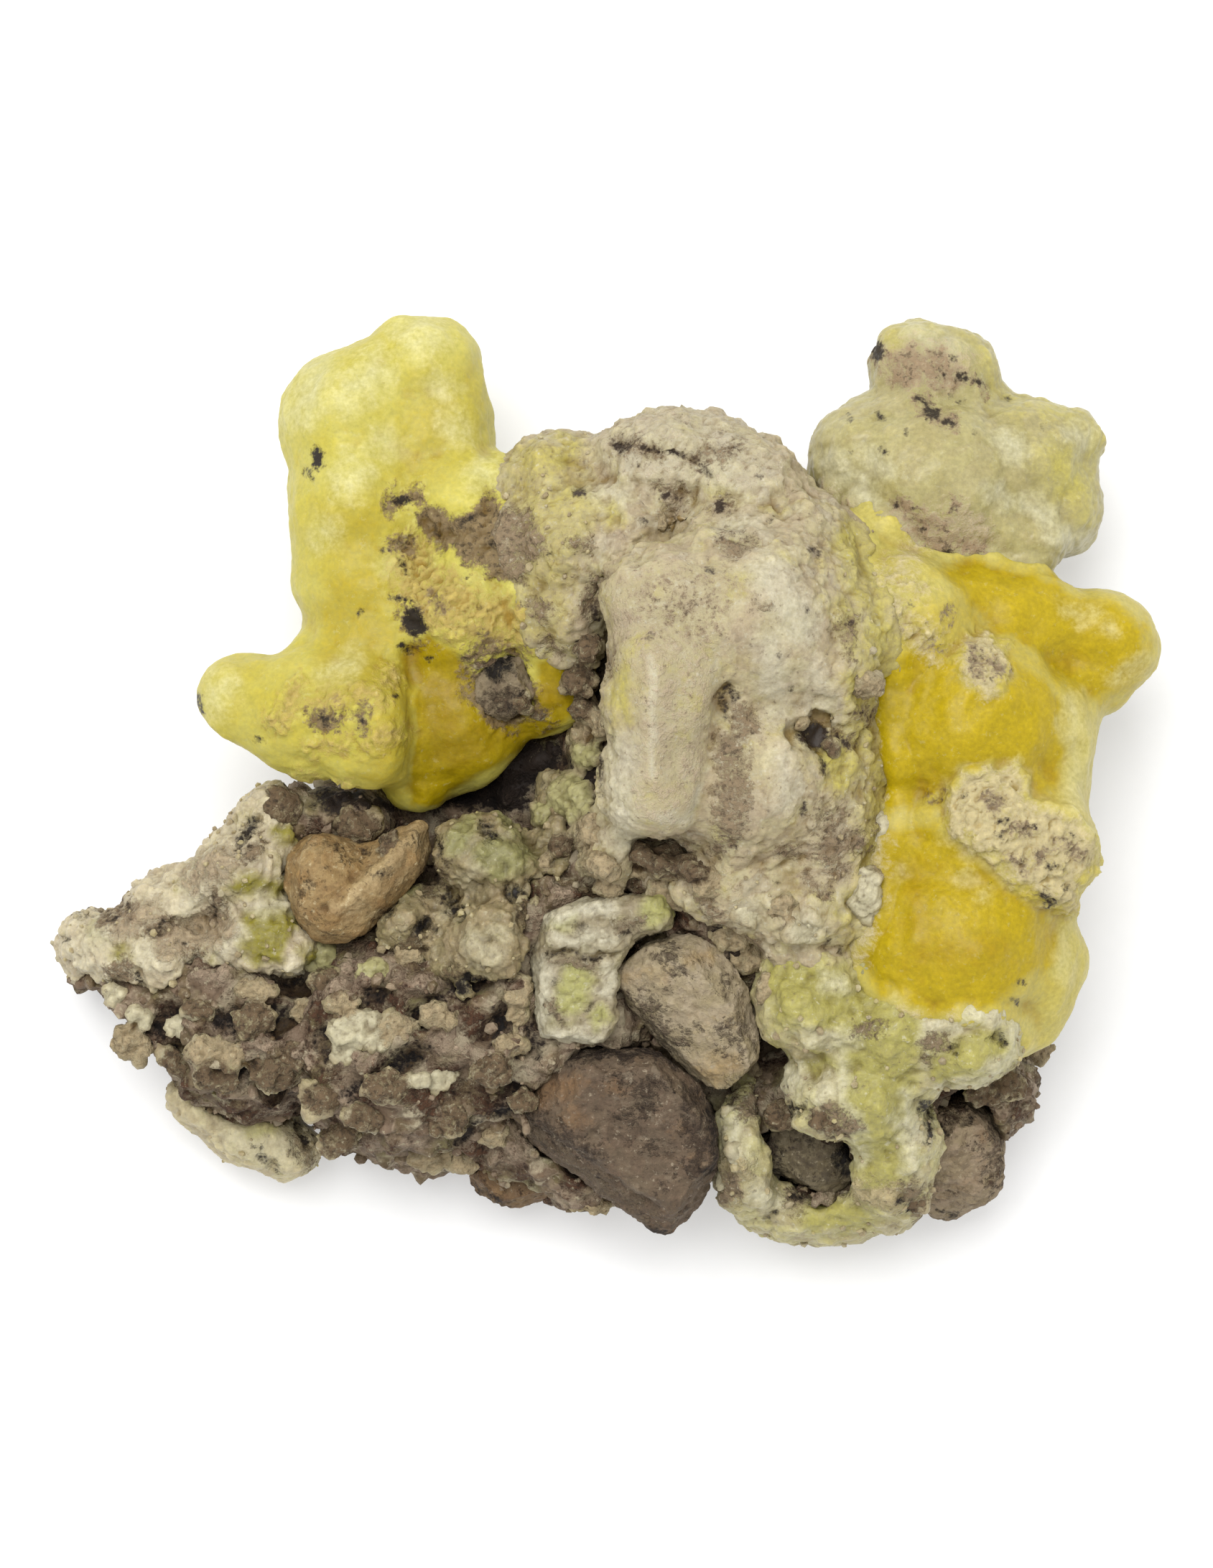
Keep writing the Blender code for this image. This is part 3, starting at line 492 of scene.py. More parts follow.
# The last colour is the painted shade in the breccia's hollows.
BRECCIA = ("68573F", "7D6B4E", "857E52", "C6BB9C", "A5917A", "563B29", "281D15", "7A6850")
dress(matrix, ["matrix"], mineral("brown breccia", *BRECCIA, mottle_scale=700.0, grains=0.95, specks=0.8,
                                             flecks=0.6, smooth=0.7, rough=0.88, relief_height=0.22))

# Stones cemented in the breccia: harder, darker rock with broken flat faces, worn edges and a fine grain. Each has
# flat faces broken off at facings drawn by chance, and its own stains and dark spots.
def chip(piece, seed, count, depth):
    """Breaks count flat faces off a stone, each up to depth mm below the point that stands out furthest that way."""
    places, _ = shape_of(piece)
    draw = np.random.default_rng(seed)
    for _ in range(count):
        out = draw.normal(size=3)
        out[2] = abs(out[2])
        out /= np.linalg.norm(out)
        over = places @ out
        over = np.clip(over - over.max() + depth * draw.uniform(0.45, 1.0), 0, None)
        places = places - BREAK * over[:, None] * out
    put_back(piece, places)


STONE_SKINS = {
    # node: (cell mm, rounds of smoothing, swell mm, relief height mm, broken faces, their depth mm, slot)
    "brown_block": (0.40, 1, 0.20, 0.32, 12, 1.1, "dark_stone"),
    "grey_slab": (0.35, 1, 0.45, 0.26, 26, 1.5, "grey_stone"),
    "corner_stone": (0.32, 1, 0.25, 0.30, 16, 1.1, "dark_stone"),
    "dark_stone": (0.32, 1, 0.25, 0.35, 14, 0.9, "dark_stone"),
    "under_stone": (0.35, 2, 0.10, 0.30, 8, 0.6, "dark_stone"),
    "grey_inclusion": (0.25, 1, 0.45, 0.40, 10, 0.5, "dark_stone"),
    "round_pebble": (0.36, 4, 0.14, 0.24, 5, 0.3, "tan_stone"),
}
STONE_LOOKS = {
    # node: base, mottle, deep, pale, crust, stain, dark, hollow (the colour of the painted shade in hollows)
    "brown_block": ("645443", "735F4C", "8E6B45", "A4957E", "7E6E57", "524335", "332820", "7A6858"),
    "grey_slab": ("AC9C80", "B6A68A", "A88A58", "B6A88C", "A29368", "7A6A56", "483A2E", "8A7A66"),
    "corner_stone": ("98866D", "A89479", "8C6A44", "B2A284", "9C8C66", "584534", "2C221A", "74624C"),
    "dark_stone": ("574C3A", "6B5F49", "86764A", "A0947A", "968A6A", "4A3D30", "1C1611", "6A5A46"),
    "under_stone": ("74593F", "866B4C", "96784A", "A4927A", "927A54", "523E2C", "281C14", "6A543E"),
    "grey_inclusion": ("7C6C56", "8E7E64", "86764A", "A4987C", "9C8F70", "5E4E3C", "1C1611", "6A5A46"),
    "round_pebble": ("94754A", "A28658", "AA8244", "C8B48A", "B49C6E", "5E482C", "3A2C1C", "86704E"),
}
STONE_MARKS = {
    "brown_block": {
        "dark": [
            (0.8, (-3, -19.6), (3, -19.6), (6.5, -20.6)), (0.9, (7.6, -23.5), (7.5, -28)),
            (1.2, (3.2, -32.6), (4, -32.8)), (0.5, (2, -31.2)), (0.4, (-0.8, -28.5)), (0.4, (4, -29.6)),
        ],
        "deep": [(2.4, (-4.2, -22.5), (-2.8, -22.1)), (1.2, (-2.8, -24.3), (-2.2, -24.1))],
        "crust": [(1.5, (-6, -25.2), (-1, -28.6), (3.3, -31.8))],
        "stain": [(1.6, (6.2, -23), (6.4, -28)), (1, (-5.2, -24.2), (-1, -27)), (1.2, (1.5, -24), (3.5, -22))],
    },
    "grey_slab": {
        "deep": [(1.4, (6, -12.8), (7, -12.6)), (2.2, (7.6, -20.9), (8.6, -20.4))],
        "crust": [(1.6, (9, -22.3), (10.2, -21))],
        "dark": [(0.5, (1.2, -17), (0.7, -15.2)), (0.3, (4.6, -15.4)), (0.3, (6.4, -17.8)), (0.25, (8.4, -15.6))],
        "stain": [(1.4, (2.6, -16), (4.6, -18.6)), (0.9, (8.8, -17.4), (9.6, -19.4)), (1, (4, -12.4), (5.2, -13.6))],
    },
    "corner_stone": {
        "stain": [(1.6, (24.2, -23.6), (25.4, -23.4)), (1.1, (28.2, -25.6), (28.2, -29.4))],
        "dark": [(0.6, (23.4, -25), (24.6, -25.5)), (0.5, (24, -31.2), (25.2, -31.8)), (0.4, (26.2, -24.6))],
        "deep": [(1.4, (24.4, -23.2), (25.2, -22.8))],
    },
    "dark_stone": {
        "dark": [
            (1.6, (12, -24.4), (14, -23.8)), (1.2, (17.2, -26.4), (17.4, -27.8)),
            (0.8, (12.2, -28.2), (12.8, -29.4)),
        ],
        "stain": [(1.8, (15, -24.8), (16.2, -24.6)), (1, (11.6, -26.4), (12, -27.6))],
        "pale": [(1, (12.4, -28.6), (12.8, -29))],
    },
    "under_stone": {"dark": [(0.7, (-9.8, -29.6), (-7.6, -30.8)), (0.7, (-9.4, -27.9), (-4.6, -29))]},
    "grey_inclusion": {
        "dark": [(1.5, (-8.6, 8), (-7.4, 8.2)), (0.6, (-6.6, 5.2))],
        "stain": [(1.8, (-7.8, 5.6), (-7.2, 5.8))],
    },
    "round_pebble": {
        "dark": [(0.5, (-17.9, -5.3)), (0.35, (-16, -6.6))],
        "pale": [(0.6, (-19, -9.2), (-16.4, -6.6), (-13.4, -3.6))],
    },
}
for node_name, (cell, rounds, swell, height, chips, chip_depth, slot) in STONE_SKINS.items():
    stone = skin_of(node_name, node_name + "_face", cell, rounds, swell=swell)
    chip(stone, len(node_name) + chips, chips, chip_depth)
    if node_name == "brown_block":
        press(stone, [(0.35, (-6.2, -24.4), (-1.6, -27.6), (3.6, -31.0))], -0.35, soft=0.3)
        press(stone, [(0.5, (-1.0, -20.6), (0.4, -23.6), (-0.6, -26.4))], 0.25, soft=0.6)
    if node_name == "round_pebble":
        press(stone, [(0.9, (-19.4, -9.6), (-16.6, -7.0), (-13.2, -3.4))], 0.35, soft=0.5)
        press(stone, [(0.5, (-20.2, -9.2), (-17.6, -6.4), (-15.4, -4.2))], -0.3, soft=0.4)
    relief(stone, 3.0, height * 1.8, noise_depth=3)
    relief(stone, 1.1, height * 1.4, noise_depth=3)
    pack_grains(stone, 1.0, height * 0.3, 31)
    store(stone, "gap", 0.2 * read(stone, "gap"))
    relief(stone, 0.5, height * 0.9, noise_depth=2)
    find_hollows(stone, 16, 0.45)
    places, _ = shape_of(stone)
    store(stone, "stain", np.clip(waver(places, 3.0, 6) * 0.2, 0, 0.25))
    for field, marks in STONE_MARKS[node_name].items():
        paint(stone, field, marks, strength={"dark": 0.85, "stain": 0.6}.get(field, 0.5), soft=0.8, ragged=0.4)
    rock = mineral(node_name.replace("_", " ") + " rock", *STONE_LOOKS[node_name], mottle_scale=900.0, grains=0.5,
                   specks=1.0, flecks=0.9, smooth=0.75, rough=0.88, relief_height=0.34)
    dress(stone, [node_name], rock)

# The box-shaped stone left of the slab: a breccia fragment coated in white and pale green brucite, with a
# crease across it and a small green window.
pale_block = skin_of("pale_block", "pale_block_face", 0.38, 3, swell=0.12)
press(pale_block, [(0.5, (-4.6, -12.5), (-2.0, -12.3), (0.6, -12.6))], -0.5, soft=0.35)
press(pale_block, [(0.7, (-4.8, -13.4), (-4.7, -18.0), (-0.4, -18.5), (0.4, -17.0))], 0.3, soft=0.5)
pack_grains(pale_block, 1.1, 0.25, 41)
relief(pale_block, 0.6, 0.4, noise_depth=2)
find_hollows(pale_block, 14, 0.25)
PALE_BLOCK_MARKS = {
    "pale": [
        (1.2, (-4.7, -13.2), (-4.8, -18.2), (-0.6, -18.6)), (1.2, (-4.6, -9.8), (0, -9)),
        (1, (-3.6, -11.4), (0, -11.4)), (0.8, (0.2, -13.4), (-0.2, -15)),
    ],
    "deep": [
        (2.4, (3.2, -9.4), (3.9, -9)), (1.2, (-3.5, -10.2), (-2.8, -10)), (2.6, (-2.6, -15.4), (-2.2, -14.4)),
        (1.4, (-0.7, -17.1), (-0.3, -16.8)),
    ],
    "dark": [
        (0.3, (-4.2, -12.5), (-2, -12.4), (-0.2, -12.6)), (0.4, (-1.9, -10.6)), (0.3, (-3.9, -14.4)),
        (0.4, (0.9, -11), (1.6, -10.6)), (0.3, (-1.4, -16.4)), (0.3, (-4.4, -11)),
    ],
    "stain": [(0.8, (-3.4, -13), (-1, -13)), (0.8, (1, -10.4), (2.4, -10)), (0.6, (-4, -16), (-3.6, -17))],
}
for field, marks in PALE_BLOCK_MARKS.items():
    paint(pale_block, field, marks, strength=0.85, soft=0.5, ragged=0.3)
dress(pale_block, ["pale_block"], mineral(
    "white coated stone", "A89C7B", "9A8E71", "ACA868", "CDC6AC", "A6987A", "86765E", "3A3022", "A09478",
    mottle_scale=700.0, grains=0.4, specks=0.6, flecks=0.5, smooth=0.5, glow=0.12, glow_reach=0.6))

# The tall yellow horn, the short side knob and the deep yellow web below them: waxy, translucent brucite
# with frosted patches, a painted highlight on the horn's upper left, a grey-brown stain and black manganese spots.
# White patches: frosting, and on the horn's upper left and top a painted highlight as well.
HORN_WHITE = [
    (2.6, (-18.8, 27.6), (-16.6, 29.6)), (2.6, (-13.8, 31.8), (-13, 31.6)), (1.8, (-18.2, 22.4), (-18.6, 21.2)),
    (2.6, (-20.8, 29.2), (-22, 26.8)), (1.6, (-11.2, 25.6), (-10.8, 25.4)), (1.6, (-9.2, 22.2), (-8.6, 21.6)),
    (1.2, (-15.2, 15.4), (-14.8, 15)), (1.8, (-28.4, 5.4), (-27.6, 6.8)), (1.4, (-16.4, 24.4), (-15.8, 24)),
    (1.2, (-12.4, 28.6), (-11.8, 28.2)), (1, (-19.8, 18.2), (-20.4, 17.4)), (1.2, (-19.6, 7.8), (-18.4, 8.2)),
]
WEB_GOLD = [
    (0, (-13.9, 9.5), (-12.8, 10.3), (-10.8, 9.2), (-9.3, 7), (-9.2, 4.8), (-5.3, 4.6), (-5, 8.4), (-3, 9),
     (-1.5, 7.5), (-2, 5), (-4.2, 3.3), (-7, 1.5), (-10.3, -0.2), (-12, -1.9), (-14.3, -1.9), (-13.9, 3)),
]
HORN_GOLD = [(8, (-18, 12.5), (-18, 18)), (6, (-13.5, 23), (-12, 27)), (3, (-10.5, 24), (-10, 29))]
WEB_CRUST = [
    (0, (-15.4, 17.6), (-13.4, 18.4), (-12, 15.6), (-8, 13.2), (-5, 13.4), (-4.6, 9.2), (-10.4, 9.6), (-13.2, 11.2),
     (-15.6, 13.4)),
    (0, (-14.6, 15.6), (-13.2, 13.8), (-10, 13.4), (-7.6, 13), (-5.2, 12.8), (-4.6, 9.4), (-8.6, 9.8), (-11.4, 11),
     (-13.4, 11.6), (-14.8, 13.2)),
    (1.6, (-23.6, 4.2), (-22.2, 6.4)), (1.4, (-20.6, 5.6), (-19.6, 5.4)), (1.2, (-18, 6.6), (-16.4, 6)),
    (1.3, (-17, 2.6), (-15.2, 3.4)), (1.6, (-22.4, -0.4), (-19, -1)), (0.9, (-15.8, 8.2), (-15.2, 7.2)),
    (0.9, (-21, 2.2), (-18.8, 2.6)),
]
INCLUSION_RIM = [
    (1.3, (-9.6, 8.8), (-7.6, 9.6), (-6.4, 8.6)), (1.2, (-6, 6.8), (-5.2, 4.8)),
    (1.2, (-9.4, 6.4), (-8.2, 4.4), (-6.4, 4.2)), (1, (-5.4, 4.9), (-4.2, 4.4)), (0.8, (-10.2, 7.2), (-9.8, 8.4)),
]
HORN_STAIN = [
    (0, (-13.9, 19), (-12.6, 17.2), (-10.6, 15.8), (-8.6, 14.6), (-6, 14), (-4.4, 17.2), (-5.6, 19.2), (-8.4, 20),
     (-11.4, 19), (-12.8, 19.4)),
    (1.7, (-15, 20), (-14, 20.4)), (1.1, (-15, 17), (-14.4, 16.9)), (1.6, (-20.9, 4.5), (-19.6, 4.3)),
    (1, (-17.7, 4.9), (-17.5, 3.8)), (1.6, (-14.2, 11.8), (-13.4, 10.4)), (0.8, (-9.2, 10.6), (-8.6, 10.2)),
    (1, (-5.4, 12.4), (-4.6, 12)), (0.9, (-4.4, 9.8), (-3.6, 9.4)), (0.7, (-12.6, 13.4), (-11.6, 12.2)),
]
HORN_DARK = [
    (0.8, (-20.95, 23.5), (-20.75, 22.7)), (0.35, (-21.5, 22.2), (-21.3, 21.5)), (0.8, (-14.9, 20.1), (-14.5, 19.9)),
    (0.4, (-15.9, 16.4)), (0.35, (-14.8, 15.8), (-14.6, 14.8)), (0.35, (-15.5, 13.2), (-14, 12.8)),
    (1.5, (-14, 11.6), (-13.6, 10.8)), (0.5, (-14.8, 9.6), (-14.2, 9.2)), (0.4, (-12.8, 8.7)), (0.35, (-25, 2.9)),
    (0.6, (-29.3, 5.9), (-29.2, 5.1)), (0.35, (-15.1, 6)), (0.5, (-20.4, 4.5), (-20, 4.3)), (0.35, (-17.6, 4.3)),
    (0.4, (-10.6, 18.4), (-9.4, 19)), (0.35, (-7.6, 18.9), (-6.6, 18.5)), (0.35, (-12, 17.6)),
    (0.3, (-8.4, 17), (-7.8, 16.6)), (0.3, (-9.2, 12.6)), (0.3, (-10.2, 14.6)), (0.3, (-17.8, 12)),
]
GROWTHS = ("left_brucite", "right_brucite", "pale_brucite", "cream_crust", "green_crust", "middle_crust",
           "wing_crust", "tongue")
SEAM_REACH = 1.9   # how near a neighbour makes a growth's rim rise towards it, mm
SEAM_RISE = 1.0    # how far the rim rises where the two touch, mm


def close_seams(piece):
    """Lifts the rim of a growth where it meets its neighbours, so that their surfaces run together."""
    places, facings = shape_of(piece)
    near = np.full(len(places), 1e9)
    low, high = places.min(0) - SEAM_REACH, places.max(0) + SEAM_REACH
    up = facings[:, 2] > -0.3
    for name, tree in node_trees.items():
        if name == piece["stands_for"] or name not in GROWTHS:
            continue
        start, end = (np.array(corner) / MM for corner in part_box(name))
        close = up & np.all(places > start - SEAM_REACH, axis=1) & np.all(places < end + SEAM_REACH, axis=1)
        if np.all(start < high) and np.all(end > low):
            for index in np.flatnonzero(close):
                hit = tree.find_nearest(places[index] * MM, SEAM_REACH * MM)
                if hit[0] is not None:
                    near[index] = min(near[index], hit[3] / MM)
    share = np.clip(1 - near / SEAM_REACH, 0, 1)
    share = share * share * (3 - 2 * share)
    store(piece, "seam", share)
    way = 0.8 * facings + np.array((0, 0, 0.45))
    put_back(piece, places + way * (SEAM_RISE * share)[:, None])


left_growth = skin_of("left_brucite", "left_growth", 0.46, 12, swell=0.26)
close_seams(left_growth)
for marks, height, soft, ragged in (
        ([(4, (-18.5, 28), (-14, 31)), (3, (-18.4, 22.5), (-18.8, 20.5))], 0.35, 1.6, 0.15),
        ([(0.8, (-13.9, 9), (-14, 4), (-14.2, -1.2))], -0.5, 0.8, 0.15),
        ([(2, (-18, 6.8), (-16, 5), (-15.6, 1))], 0.5, 1.2, 0.15),
        ([(3.2, (-11.4, 18), (-6.4, 17.4))], -0.3, 0.7, 0.15),
        (WEB_CRUST, 0.25, 0.5, 0.4)):
    press(left_growth, marks, height, soft, ragged)
places, facings = shape_of(left_growth)
rough_web = np.clip(cover_of(places, facings, WEB_CRUST + HORN_STAIN + INCLUSION_RIM, 0.9, 0.3) + 0.06, 0, 1)
relief(left_growth, 3.2, 0.6, noise_depth=1)
relief(left_growth, 1.1, 0.16, noise_depth=1)
pack_grains(left_growth, 0.9, 0.55, 51, within=rough_web)
relief(left_growth, 0.5, 0.5, noise_depth=1, within=rough_web)
find_hollows(left_growth, 26, 0.4)
for field, marks, strength, soft, ragged in (
        ("deep", WEB_GOLD, 1.0, 0.4, 0.15),
        ("deep", [(7, (-28, 7), (-20, 4)), (0, (-24, 34), (-24, 16), (-8, 16), (-8, 34))], 0.2, 2.0, 0.25),
        ("deep", [(9, (-29, 7), (-20, 4))], 0.35, 2.5, 0.25),
        ("deep", HORN_GOLD, 0.5, 3.0, 0.25),
        ("deep", [(7, (-18, 8), (-18, 13)), (5, (-16, 1), (-14, 8))], 0.6, 2.0, 0.25),
        ("pale", HORN_WHITE, 0.55, 1.2, 0.4),
        ("crust", WEB_CRUST, 0.8, 0.8, 0.4),
        ("stain", HORN_STAIN[:1], 1.2, 0.6, 0.5),
        ("stain", HORN_STAIN + INCLUSION_RIM, 0.9, 0.6, 0.5),
        # Painted shade over the deep yellow web, darkening it.
        ("hollow_shade", [(6, (-12, 6), (-11, 2), (-4, 6))], 0.68, 2.0, 0.25),
        ("dark", HORN_DARK, 0.9, 0.45, 0.15)):
    paint(left_growth, field, marks, strength, soft, ragged)
dress(left_growth, ["left_brucite"], mineral(
    "yellow brucite", "D3C966", "CEC252", "AE9604", "DAD6A4", "BCA65C", "8A7654", "2E261C", "D0BC70",
    mottle_scale=260.0, grains=0.0, specks=0.05, flecks=0.2, smooth=0.46, rough=0.8, relief_height=0.07,
    glow=0.3, glow_reach=1.2))

# The yellow body right of the middle: two smooth deep-yellow windows, a raised cream patch between them, a pale
# right rim, and the arm with its far knob.
RIGHT_GOLD = [
    (0, (17.5, 3), (18.4, 6.4), (19.8, 8.4), (22.4, 9.6), (24.5, 9.4), (25, 7.5), (26.2, 6), (28, 6.6), (29, 8.4),
     (31.4, 7.6), (32.6, 5.4), (32.5, 1), (32, -1.2), (30.2, -0.5), (29.5, 1), (26, 0.7), (24, -0.4), (21.5, -2.4),
     (18.6, -2)),
    (0, (23.8, 15.2), (27, 16), (31, 14.8), (35.6, 12.8), (38.4, 11.4), (39.2, 9.4), (37.8, 6.8), (35.4, 5.4),
     (32.8, 6.6), (30.4, 9), (28.6, 10), (26.2, 12.4)),
    (0, (18.6, -3.4), (21, -3), (23.6, -3.4), (26, -5), (28.6, -7.4), (30.6, -8.8), (32.4, -10.4), (32.2, -13),
     (29.8, -14.6), (27.4, -16.2), (24.4, -16.8), (21.4, -16.2), (18.8, -14.4), (18, -10)),
]
RIGHT_YELLOW = [
    (0, (17.6, 8), (21, 12.6), (26, 14.8), (32, 14), (39.4, 11.4), (39.4, 7.6), (34.4, 4.4), (33.6, -3), (33.8, -12),
     (29.6, -17.6), (22, -18), (17.8, -14), (18.4, -4)),
]
RIGHT_CRUST = [
    (0, (24.6, -0.2), (26, 0.6), (28, 0.7), (29, 1.1), (29.8, 0), (30, -1.8), (33, -2.5), (34.8, -4.5), (35.4, -5.5),
     (33.8, -7.5), (33.5, -9.5), (31.8, -9), (29, -7.3), (27.5, -5.5), (24.5, -4), (24.3, -2.5)),
    (0, (25, 9.5), (27, 10.7), (28.7, 9.5), (28, 6.7), (26.5, 5.6), (25.2, 7.5)),
    (2.6, (19.8, 12.8), (21.6, 10.6), (23, 9.8)), (1.2, (20, 14.2), (22.6, 14)),
]
RIGHT_EDGE = [
    (2.2, (18.4, 14), (17.4, 9)), (2.2, (17.6, 4), (18.4, -3), (18.6, -6), (17.8, -12)),
    (1.6, (19, -17), (24, -17.8)), (1.6, (22, 16.6), (19.4, 13.4)),
]
RIGHT_WHITE = [
    (0.9, (24.6, -0.4), (26, 0.5), (28, 0.6), (29, 1), (29.7, 0), (30, -1.7), (32.8, -2.4), (34.6, -4.4)),
    (1.6, (33.4, 5.4), (33.6, 1), (33.2, -1.6)), (0.8, (36.2, 10.8)), (0.7, (25.3, -7.1), (25.8, -7)),
    (0.5, (26.8, -8.4)), (0.5, (21, -6.8)), (0.9, (32.6, -11), (32.8, -14)), (0.4, (20.4, -15.8)),
    (1, (36.6, 7.4), (38.2, 8.4)), (0.8, (33, 12.2), (35, 11.8)), (0.9, (24.6, -4.2), (27.2, -5.6), (29, -7.2)),
]
RIGHT_STAIN = [
    (0.9, (27.8, -1.4), (27.3, -1.9), (26.8, -1.4), (27.3, -0.9), (27.8, -1.4)), (0.9, (30.8, -5.6), (31.4, -5.2)),
    (0.9, (26, 9.2), (26.4, 7.5)), (0.7, (28.6, -3.2), (29.8, -3.8)), (0.7, (24.3, 11.7)),
    (0.6, (23.4, 9.6), (23.8, 9.5)), (0.9, (27.2, 8.6), (27.8, 8)), (0.8, (32.4, -4.6), (33.6, -5.4)),
    (0.7, (23.2, -1.2), (23.7, -1.2)), (0.8, (28.6, -5.6), (29.4, -5.9)), (0.6, (20.2, 11.6), (20.8, 11)),
]
RIGHT_DARK = [
    (0.45, (27.9, -2.8), (28.6, -2.8)), (0.35, (27.8, -3.9), (28.2, -3.9)), (0.4, (31.5, -6.3), (31.9, -6.1)),
    (0.6, (31, -8.2), (31.9, -8.9)), (0.3, (29.3, -14.6), (29.8, -14.5)), (0.35, (28.9, -15.7), (29.3, -15.9)),
    (0.3, (26.6, 8.9)), (0.3, (30.2, -3.4)), (0.3, (27.3, -1.5)), (0.3, (25.4, -1.2)), (0.3, (33.2, -4)),
    (0.3, (27.5, 7.3)), (0.3, (21.6, 12.6)), (0.3, (32.6, -7.6)),
]
right_growth = skin_of("right_brucite", "right_growth", 0.48, 12, swell=0.26)
close_seams(right_growth)
for marks, height, soft, ragged in (
        ([(0, (16, 7), (21, 8), (22.4, -2), (21, -15), (16, -15))], 0.45, 2.0, 0.6),
        (RIGHT_CRUST[:2], 0.6, 0.5, 0.3),
        ([(0.7, *RIGHT_WHITE[0][1:])], 0.4, 0.4, 0.15)):
    press(right_growth, marks, height, soft, ragged)
places, facings = shape_of(right_growth)
rough_patch = np.clip(cover_of(places, facings, RIGHT_CRUST + RIGHT_STAIN, 0.9, 0.3) + 0.08, 0, 1)
relief(right_growth, 3.4, 0.7, noise_depth=1)
relief(right_growth, 1.1, 0.14, noise_depth=1)
pack_grains(right_growth, 0.9, 0.5, 61, within=rough_patch)
relief(right_growth, 0.5, 0.5, noise_depth=1, within=rough_patch)
find_hollows(right_growth, 26, 0.4)
for field, marks, strength, soft, ragged in (
        ("deep", RIGHT_GOLD, 1.0, 0.8, 0.4),
        ("deep", RIGHT_YELLOW, 0.42, 1.5, 0.3),
        ("pale", RIGHT_WHITE, 0.5, 0.8, 0.3),
        ("crust", RIGHT_CRUST[:2], 0.95, 0.6, 0.4),
        ("crust", RIGHT_CRUST[2:] + RIGHT_EDGE, 0.7, 1.0, 0.5),
        ("stain", RIGHT_STAIN, 0.85, 0.6, 0.3),
        # Painted shade over the lower and upper golden windows, darkening them.
        ("hollow_shade", [(8, (22, -7), (22.5, -12.5), (27.5, -12))], 0.74, 4.5, 0.25),
        ("hollow_shade", [(5, (22, 3), (24, 4))], 0.62, 3.0, 0.25),
        ("dark", RIGHT_DARK, 0.9, 0.4, 0.15)):
    paint(right_growth, field, marks, strength, soft, ragged)
dress(right_growth, ["right_brucite"], mineral(
    "deep yellow brucite", "CDC068", "CABA5C", "BEA508", "D4CC98", "C9BA8C", "8E7C62", "3A3024", "D0BC70",
    mottle_scale=300.0, grains=0.0, specks=0.06, flecks=0.2, smooth=0.46, rough=0.8, relief_height=0.07,
    glow=0.3, glow_reach=1.2))

# The cloudy, pale cluster at the top right: glassy grey-green in the middle, knobbly and yellow on its rim, and
# speckled brown where it grew against rock.
PALE_YELLOW = [
    (2.4, (20.4, 31.8), (22.6, 32.4)), (2, (26.4, 31.2), (27.4, 30.4)), (3, (32.4, 22.6), (33.6, 21.2)),
    (1.6, (34.2, 20.4), (34.4, 19.6)), (2.2, (31.8, 26.6), (33.4, 26.6)), (1.4, (34.8, 25.4), (35.2, 23.6)),
    (1.6, (28.6, 28.6), (30.2, 27.6)),
]
PALE_WHITE = [
    (1.6, (16.2, 22.8), (17.2, 21.8)), (1.6, (18.3, 21.4), (18.4, 20.2)), (1.2, (19, 23), (19.6, 22.4)),
    (1.4, (28.4, 24.6), (29.4, 23.4)), (1.2, (30, 20), (31.6, 19)), (1.2, (22, 32), (23.2, 31.6)),
    (1, (33.6, 25), (34.4, 24.4)), (1, (27.6, 21), (28.6, 19.8)), (1.4, (32, 17.6), (34.2, 17)),
    (0.9, (24.4, 31.4), (25.4, 31)),
]
PALE_STAIN = [
    (2.6, (21.4, 29.8), (23.8, 29.6)), (1.4, (20.5, 30.4), (20.9, 30.2)), (1, (24.6, 29.6), (25.6, 28.8)),
    (1.2, (26.4, 28.7), (27, 28.5)), (0.9, (22.3, 27.5), (23, 26.8)), (1.2, (23.2, 26.4), (24.5, 25.6)),
    (1.2, (21, 19.6), (22.2, 19.2)), (1.2, (21.8, 18.6), (24.4, 17.8)), (1, (24.8, 19.3)),
    (1.2, (25.4, 17), (26.8, 16.4)), (1, (15.5, 20.3), (17.4, 18.8), (20, 17.2)), (1.4, (19.4, 31.2), (19.6, 30.6)),
    (1, (22.4, 17.2), (24.4, 16.4)),
]
PALE_DARK = [
    (1, (19.4, 31.3), (19.6, 30.7)), (0.5, (25, 30.4)), (0.6, (25.3, 29.1), (25.8, 28.9)),
    (0.5, (26.5, 28.7), (27, 28.5)), (0.4, (24.1, 29.2)), (0.45, (22.3, 27.5), (23, 26.8)),
    (0.9, (23.2, 26.4), (23.6, 26.2)), (0.5, (24.2, 25.7), (24.6, 25.5)), (0.4, (23, 25.7)), (0.35, (24.8, 27.5)),
    (0.35, (25.5, 27.2)), (0.35, (26.3, 25)), (0.45, (19.5, 26.2), (19.7, 26)), (0.3, (17.4, 26)),
    (0.3, (17.5, 23.4)), (0.35, (19.9, 23.6)), (0.3, (31.3, 25.3)), (0.4, (15.3, 19.6)), (0.35, (20.8, 19.6)),
    (0.35, (22, 19.4)), (0.35, (21.8, 18.7)), (0.4, (24.8, 19.3)), (0.3, (22.5, 18)), (0.3, (24.3, 17.8)),
    (0.6, (24.3, 16.3), (24.7, 16.1)), (0.3, (26.8, 16.3)), (0.3, (28.8, 27.4)), (0.3, (21.4, 24.9)),
]
pale_growth = skin_of("pale_brucite", "pale_growth", 0.42, 8, swell=0.24)
close_seams(pale_growth)
places, facings = shape_of(pale_growth)
